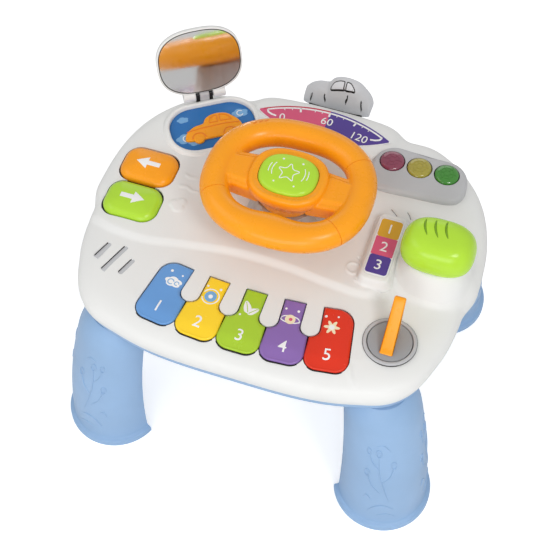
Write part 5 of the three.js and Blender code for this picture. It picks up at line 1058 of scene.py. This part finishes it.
def car_form():
    rows, cols = 40, 80
    xs = -0.494 * CAR_SIZE[0] * np.cos(np.linspace(0, math.pi, cols))
    top = np.interp(xs, *(catmull(CAR[1:13], 120, closed=False) * CAR_SIZE).T)
    narrow = (np.abs(xs) / CAR_SIZE[0] * 2) ** 5
    near, far = CAR_NEAR + 4 * narrow, CAR_FAR - 3 * narrow
    grid = []
    for t in (1 - np.cos(np.linspace(0, math.pi, rows))) / 2:
        y = near + (far - near) * t
        from_ridge = (CAR_RIDGE - t) / (CAR_RIDGE if t < CAR_RIDGE else CAR_RIDGE - 1)
        rise = math.sqrt(max(1 - from_ridge ** 2, 0))
        z = CAR_SILL + (top - CAR_SILL) * max(rise, 0.02)
        for wheel_x in CAR_WHEELS:
            off = np.hypot((xs - wheel_x * CAR_SIZE[0]) / 8.6, (y + 8.6) / 4.4)
            z = z + 2.6 * smooth(1.25 - off) * smooth(t * 9)
        grid.append(np.column_stack([xs, CAR_Y + y, CAR_Z + z]))
    return closed_grid(np.vstack(grid), cols, CAR_Z)


def fender_line(x0, y0, x1, y1):
    bow = 0.7 * (x1 - x0)
    line = [(x0, y0), ((x0 + x1) / 2 + bow, (y0 + y1) / 2), (x1, y1)]
    return ribbon(catmull(np.array(line) + (0, CAR_Y), 10, closed=False), 1.1)


toy_car = made("toy_car_skin", car_form(), "car_grey", "swing", "toy_car", sharp=50)
panes = [catmull(np.array(p) + (0, CAR_Y), 40) for p in PANE_PLAN]
# Dark lines round the windows and along the fender creases, painted shade
lines = [polygon(inset(ccw(p), -0.9)) for p in panes] + [fender_line(*ends) for ends in FENDER_PLAN]
decal("toy_car_crease_shade", "gap_dark", lines, toy_car, cell=1, slot="grey_plastic")
decal("toy_car_windows", "pane_pale", [polygon(p) for p in panes], toy_car, thick=0.3, cell=2)
# A dark strip along the car's near foot, painted shadow under the car
form = block(-27, 27, CAR_Y - 13.1, CAR_Y - 11, CAR_Z + 0.2, CAR_Z + 2.4, 0.6)
made("toy_car_under_shade", form, "gap_dark", "swing", slot="grey_plastic")

# Speaker slots: a sloped louvre floor in each, its grey painted shade, and a dark strip of painted shade
# along its deep edge
floors, deeps = [], []
for long, y in slots:
    half = long / 2
    corners = np.array([(-half, y - 2.6), (half, y - 2.6), (half, y + 2.6), (-half, y + 2.6)])
    top = np.column_stack([turned(corners, *SPEAKER), (221.5, 221.5, 220.8, 220.8)])
    floors.append(loft([top - (0, 0, 1.2), top]))
    edge = turned(round_rect(long - 1.6, 0.6, 0.25, 3, 0, y + 2.2), *SPEAKER)
    deeps.append(loft([lift(edge, 219.4), lift(edge, 221.6)]))
made("speaker_louvres", floors, "slot_floor_shade")
made("speaker_shadow_gaps", deeps, "gap_dark")

# Blue base: its smooth outer band, and its CAD form drawn in behind the slimmer skin
BAND_SIDE = ((17, 176.0), (13, 176.1), (10.6, 177.0), (7.4, 179.8), (5.2, 183.0), (4.5, 186.0), (4.5, 189.9),
             (8.4, 189.9), (9.2, 184.0), (12, 178.6), (17, 178.6))
form = stack(lambda d: inset(table_loop(480), d), BAND_SIDE, wrap=True)
made("base_band_skin", form, "base_blue", "root", "bottom_shell")
base_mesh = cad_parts["bottom_shell"].data.copy()
bm = bmesh.new()
bm.from_mesh(base_mesh)
bmesh.ops.remove_doubles(bm, verts=bm.verts, dist=2e-6)
bmesh.ops.dissolve_limit(bm, angle_limit=math.radians(0.6), verts=bm.verts, edges=bm.edges)
bmesh.ops.triangulate(bm, faces=[f for f in bm.faces if len(f.verts) > 4])
base = finished(linked("bottom_shell_skin", base_mesh, bm), "base_blue", "root", "bottom_shell", sharp=30)
for vertex in base.data.vertices:
    x, y = vertex.co.x / MM, vertex.co.y / MM - SHIFT_Y
    r = math.hypot(x, y)
    if r > 60:
        full = full_reach(x / r, y / r)
        pull = (max(0.0, full - slim_reach(x, y)) + 6.0) * smooth((r - full + 24) / 9)
        vertex.co.x -= pull * x / r * MM
        vertex.co.y -= pull * y / r * MM

# Push-fit legs with moulded twigs and rings: angle from the outer side in degrees, and height
LEG_X, LEG_Y, LEG_TALL, LEG_FOOT, LEG_TOP = 141.0, 115.0, 175.7, 43, 33.5
LEG_MIDDLE = math.atan2(LEG_Y, LEG_X)
LEG_WALL, SHOULDER_START = 2.8, 148
LEG_FLANGE = ((0, 4.5), (5.4, 4.5), (6.4, 4.3), (7.1, 3.8), (7.5, 3.0), (7.9, 1.4), (8.6, 0.6), (10, 0.15))
TWIGS = (([(-10, 52), (-3, 74), (3, 98), (2, 124)], 0.75), ([(2, 66), (14, 78), (20, 94)], 0.65),
         ([(0, 84), (-12, 94), (-18, 108)], 0.65), ([(3, 104), (12, 114), (16, 126)], 0.6),
         ([(-16, 38), (-4, 44), (8, 40), (16, 30)], 0.75), ([(-20, 22), (-8, 28), (4, 24)], 0.65),
         ([(14, 52), (20, 58), (24, 50)], 0.6), ([(-14, 132), (-6, 140), (4, 138)], 0.6))
BERRIES = ((20, 96, 5), (-18, 111, 5), (16, 129, 4.4), (2, 128, 5))


def leg_axis(z):
    """Middle and radius of the leg's channel at a height."""
    share = z / LEG_TALL
    shoulder = 8.0 * max(0.0, (z - SHOULDER_START) / (LEG_TALL - SHOULDER_START)) ** 2.4
    radius = LEG_FOOT + (LEG_TOP - LEG_FOOT) * share ** 1.2 - shoulder
    return LEG_X - 18 * share ** 2, LEG_Y - 15 * share ** 2, radius


def leg_ring(z, flange):
    x, y, r = leg_axis(z)
    ends = math.degrees(LEG_MIDDLE) - 120, math.degrees(LEG_MIDDLE) + 120
    return lift(np.vstack([arc(x, y, r + flange, *ends, 72), arc(x, y, r - LEG_WALL, *ends[::-1], 72)]), z)


def on_leg(points):
    """Places on the leg's outer face, from angles and heights."""
    path = []
    for degrees, z in points:
        x, y, r = leg_axis(z)
        a = LEG_MIDDLE + math.radians(degrees)
        path.append((x + (r + 0.1) * math.cos(a), y + (r + 0.1) * math.sin(a), z))
    return path


def twig(points, radius):
    path = catmull(on_leg(points), 10 * (len(points) - 1), closed=False)
    t = np.linspace(0, 1, len(path))
    return tube(path, radius * np.sin(math.pi * np.clip(t, .06, .94)) ** 0.4, 8)


def berry(angle, z, size):
    t = turns(16)
    loop = np.column_stack([angle + 0.7425 * size * np.cos(t), z + size * np.sin(t)])
    return tube(catmull(on_leg(loop), 40), 0.55, 8, closed=True)


heights = [*LEG_FLANGE, *((z, 0) for z in (*np.linspace(12, 148, 20), *np.linspace(151, LEG_TALL, 12)))]
cx, cy, cr = leg_axis(LEG_TALL)
leg = [loft([leg_ring(z, flange) for z, flange in heights]),
       stack(lambda r: disc(cx, cy, r, 64), ((cr - 1.4, 172.7), (cr - 1.4, 175.6))),
       stack(lambda r: disc(cx, cy, r, 48), ((14, 174), (14, 185), (13.2, 186)))]
for turn in (-46, 40):
    leg += [twig([(turn + a, z) for a, z in line], radius) for line, radius in TWIGS]
    leg += [berry(turn + a, z, size) for a, z, size in BERRIES]
for end, sy in (("front", -1), ("rear", 1)):
    for side, sx in (("left", -1), ("right", 1)):
        forms = [(v * (sx, sy, 1), f if sx * sy > 0 else [face[::-1] for face in f]) for v, f in leg]
        made(f"leg_{end}_{side}_skin", forms, "base_blue", "root", f"leg_{end}_{side}")

# Nodes that keep their CAD form get new materials
CARRIED = {
    "base_blue": ("battery_cover",), "cell_wrap": ("battery_cell_1", "battery_cell_2"),
    "steel": ("battery_cover_screw", "battery_contact_left", "battery_contact_right", "lever_pivot_screw",
              "lid_hinge_pin", *(f"housing_screw_{i}" for i in range(1, 5))),
    "silicone": ("horn_dome", "turn_dome_left", "turn_dome_right", "key_contact_mat", "lens_dome_red",
                 "lens_dome_yellow", "lens_dome_green"),
    "mechanism_plastic": ("steering_shaft", "crank_disc", "swing_lever", "key_carrier", "shift_slider"),
    "circuit_board": ("turn_switch_board", "key_board", "lamp_board", "main_board"),
    "black_plastic": ("speaker", "power_switch"),
}
for paint, nodes in CARRIED.items():
    for node in nodes:
        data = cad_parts[node].data
        for k in range(len(data.materials)):
            data.materials[k] = MAT[paint]

# Floor and world: white to the camera, dimmer to the object
FLOOR_HALF, FLOOR_GLOW, WORLD_LEVEL = 6, 0.5, 0.57
WHITE = (1, 1, 1, 1)


def when_seen(tree, low, high, target, *rays):
    """Drives a socket from low to high for rays of the kinds given."""
    light_path = tree.nodes.new("ShaderNodeLightPath")
    seen = tree.nodes.new("ShaderNodeMath")
    seen.operation = "MAXIMUM"
    seen.inputs[1].default_value = 0
    for ray, socket in zip(rays, seen.inputs):
        tree.links.new(light_path.outputs[ray], socket)
    level = tree.nodes.new("ShaderNodeMapRange")
    set_sockets(level, {"To Min": low, "To Max": high})
    tree.links.new(seen.outputs[0], level.inputs["Value"])
    tree.links.new(level.outputs["Result"], target)


floor_mesh = bpy.data.meshes.new("floor")
corners = [(FLOOR_HALF * x, FLOOR_HALF * y, 0) for x, y in ((-1, -1), (1, -1), (1, 1), (-1, 1))]
floor_mesh.from_pydata(corners, [], [(0, 1, 2, 3)])
floor = added("floor", floor_mesh)
paper = bpy.data.materials.new("floor_paper")
tree = node_tree(paper)
shader = tree.nodes["Principled BSDF"]
set_sockets(shader, {"Base Color": (0.86, 0.86, 0.86, 1), "Roughness": 0.9, "Specular IOR Level": 0.0,
                     "Emission Color": WHITE})
when_seen(tree, 0, FLOOR_GLOW, shader.inputs["Emission Strength"], "Is Camera Ray")
floor_mesh.materials.append(paper)

world = bpy.data.worlds.new("studio")
bpy.context.scene.world = world
tree = node_tree(world)
background = tree.nodes["Background"]
background.inputs["Color"].default_value = WHITE
when_seen(tree, WORLD_LEVEL, 1, background.inputs["Strength"], "Is Camera Ray", "Is Transmission Ray")

# Lamps: place and size in metres, and watts
LAMPS = {"key_light": ((1.0, -0.9, 1.7), (0.5, 0.5), 10), "fill_light": ((-1.3, -0.6, 1.6), (1.4, 1.0), 5),
         "front_light": ((0.2, -1.8, 0.9), (1.6, 0.7), 11), "rear_light": ((-0.5, 1.9, 1.1), (1.4, 0.9), 4)}
LAMP_AIM = Vector((0, 0, 0.2))
for name, (spot, size, power) in LAMPS.items():
    data = bpy.data.lights.new(name, "AREA")
    data.shape, data.energy = "RECTANGLE", power
    data.size, data.size_y = size
    lamp = added(name, data)
    lamp.location = spot
    lamp.rotation_euler = (Vector(spot) - LAMP_AIM).to_track_quat("Z", "Y").to_euler()

# Camera at the photograph's angle, fitted to the table's outline
AZIMUTH, HEIGHT, DISTANCE = math.radians(18.53), math.radians(57.29), 1.04279
TARGET = Vector((0.01236, -0.05855, 0.210))
lens_data = bpy.data.cameras.new("camera")
lens_data.lens, lens_data.sensor_width, lens_data.clip_end = 75.68, 36, 20
camera = added("camera", lens_data)
back = Vector((math.sin(AZIMUTH) * math.cos(HEIGHT), -math.cos(AZIMUTH) * math.cos(HEIGHT), math.sin(HEIGHT)))
camera.location = TARGET + DISTANCE * back
camera.rotation_euler = back.to_track_quat("Z", "Y").to_euler()
bpy.context.scene.camera = camera
bpy.context.scene.view_settings.view_transform = "Standard"
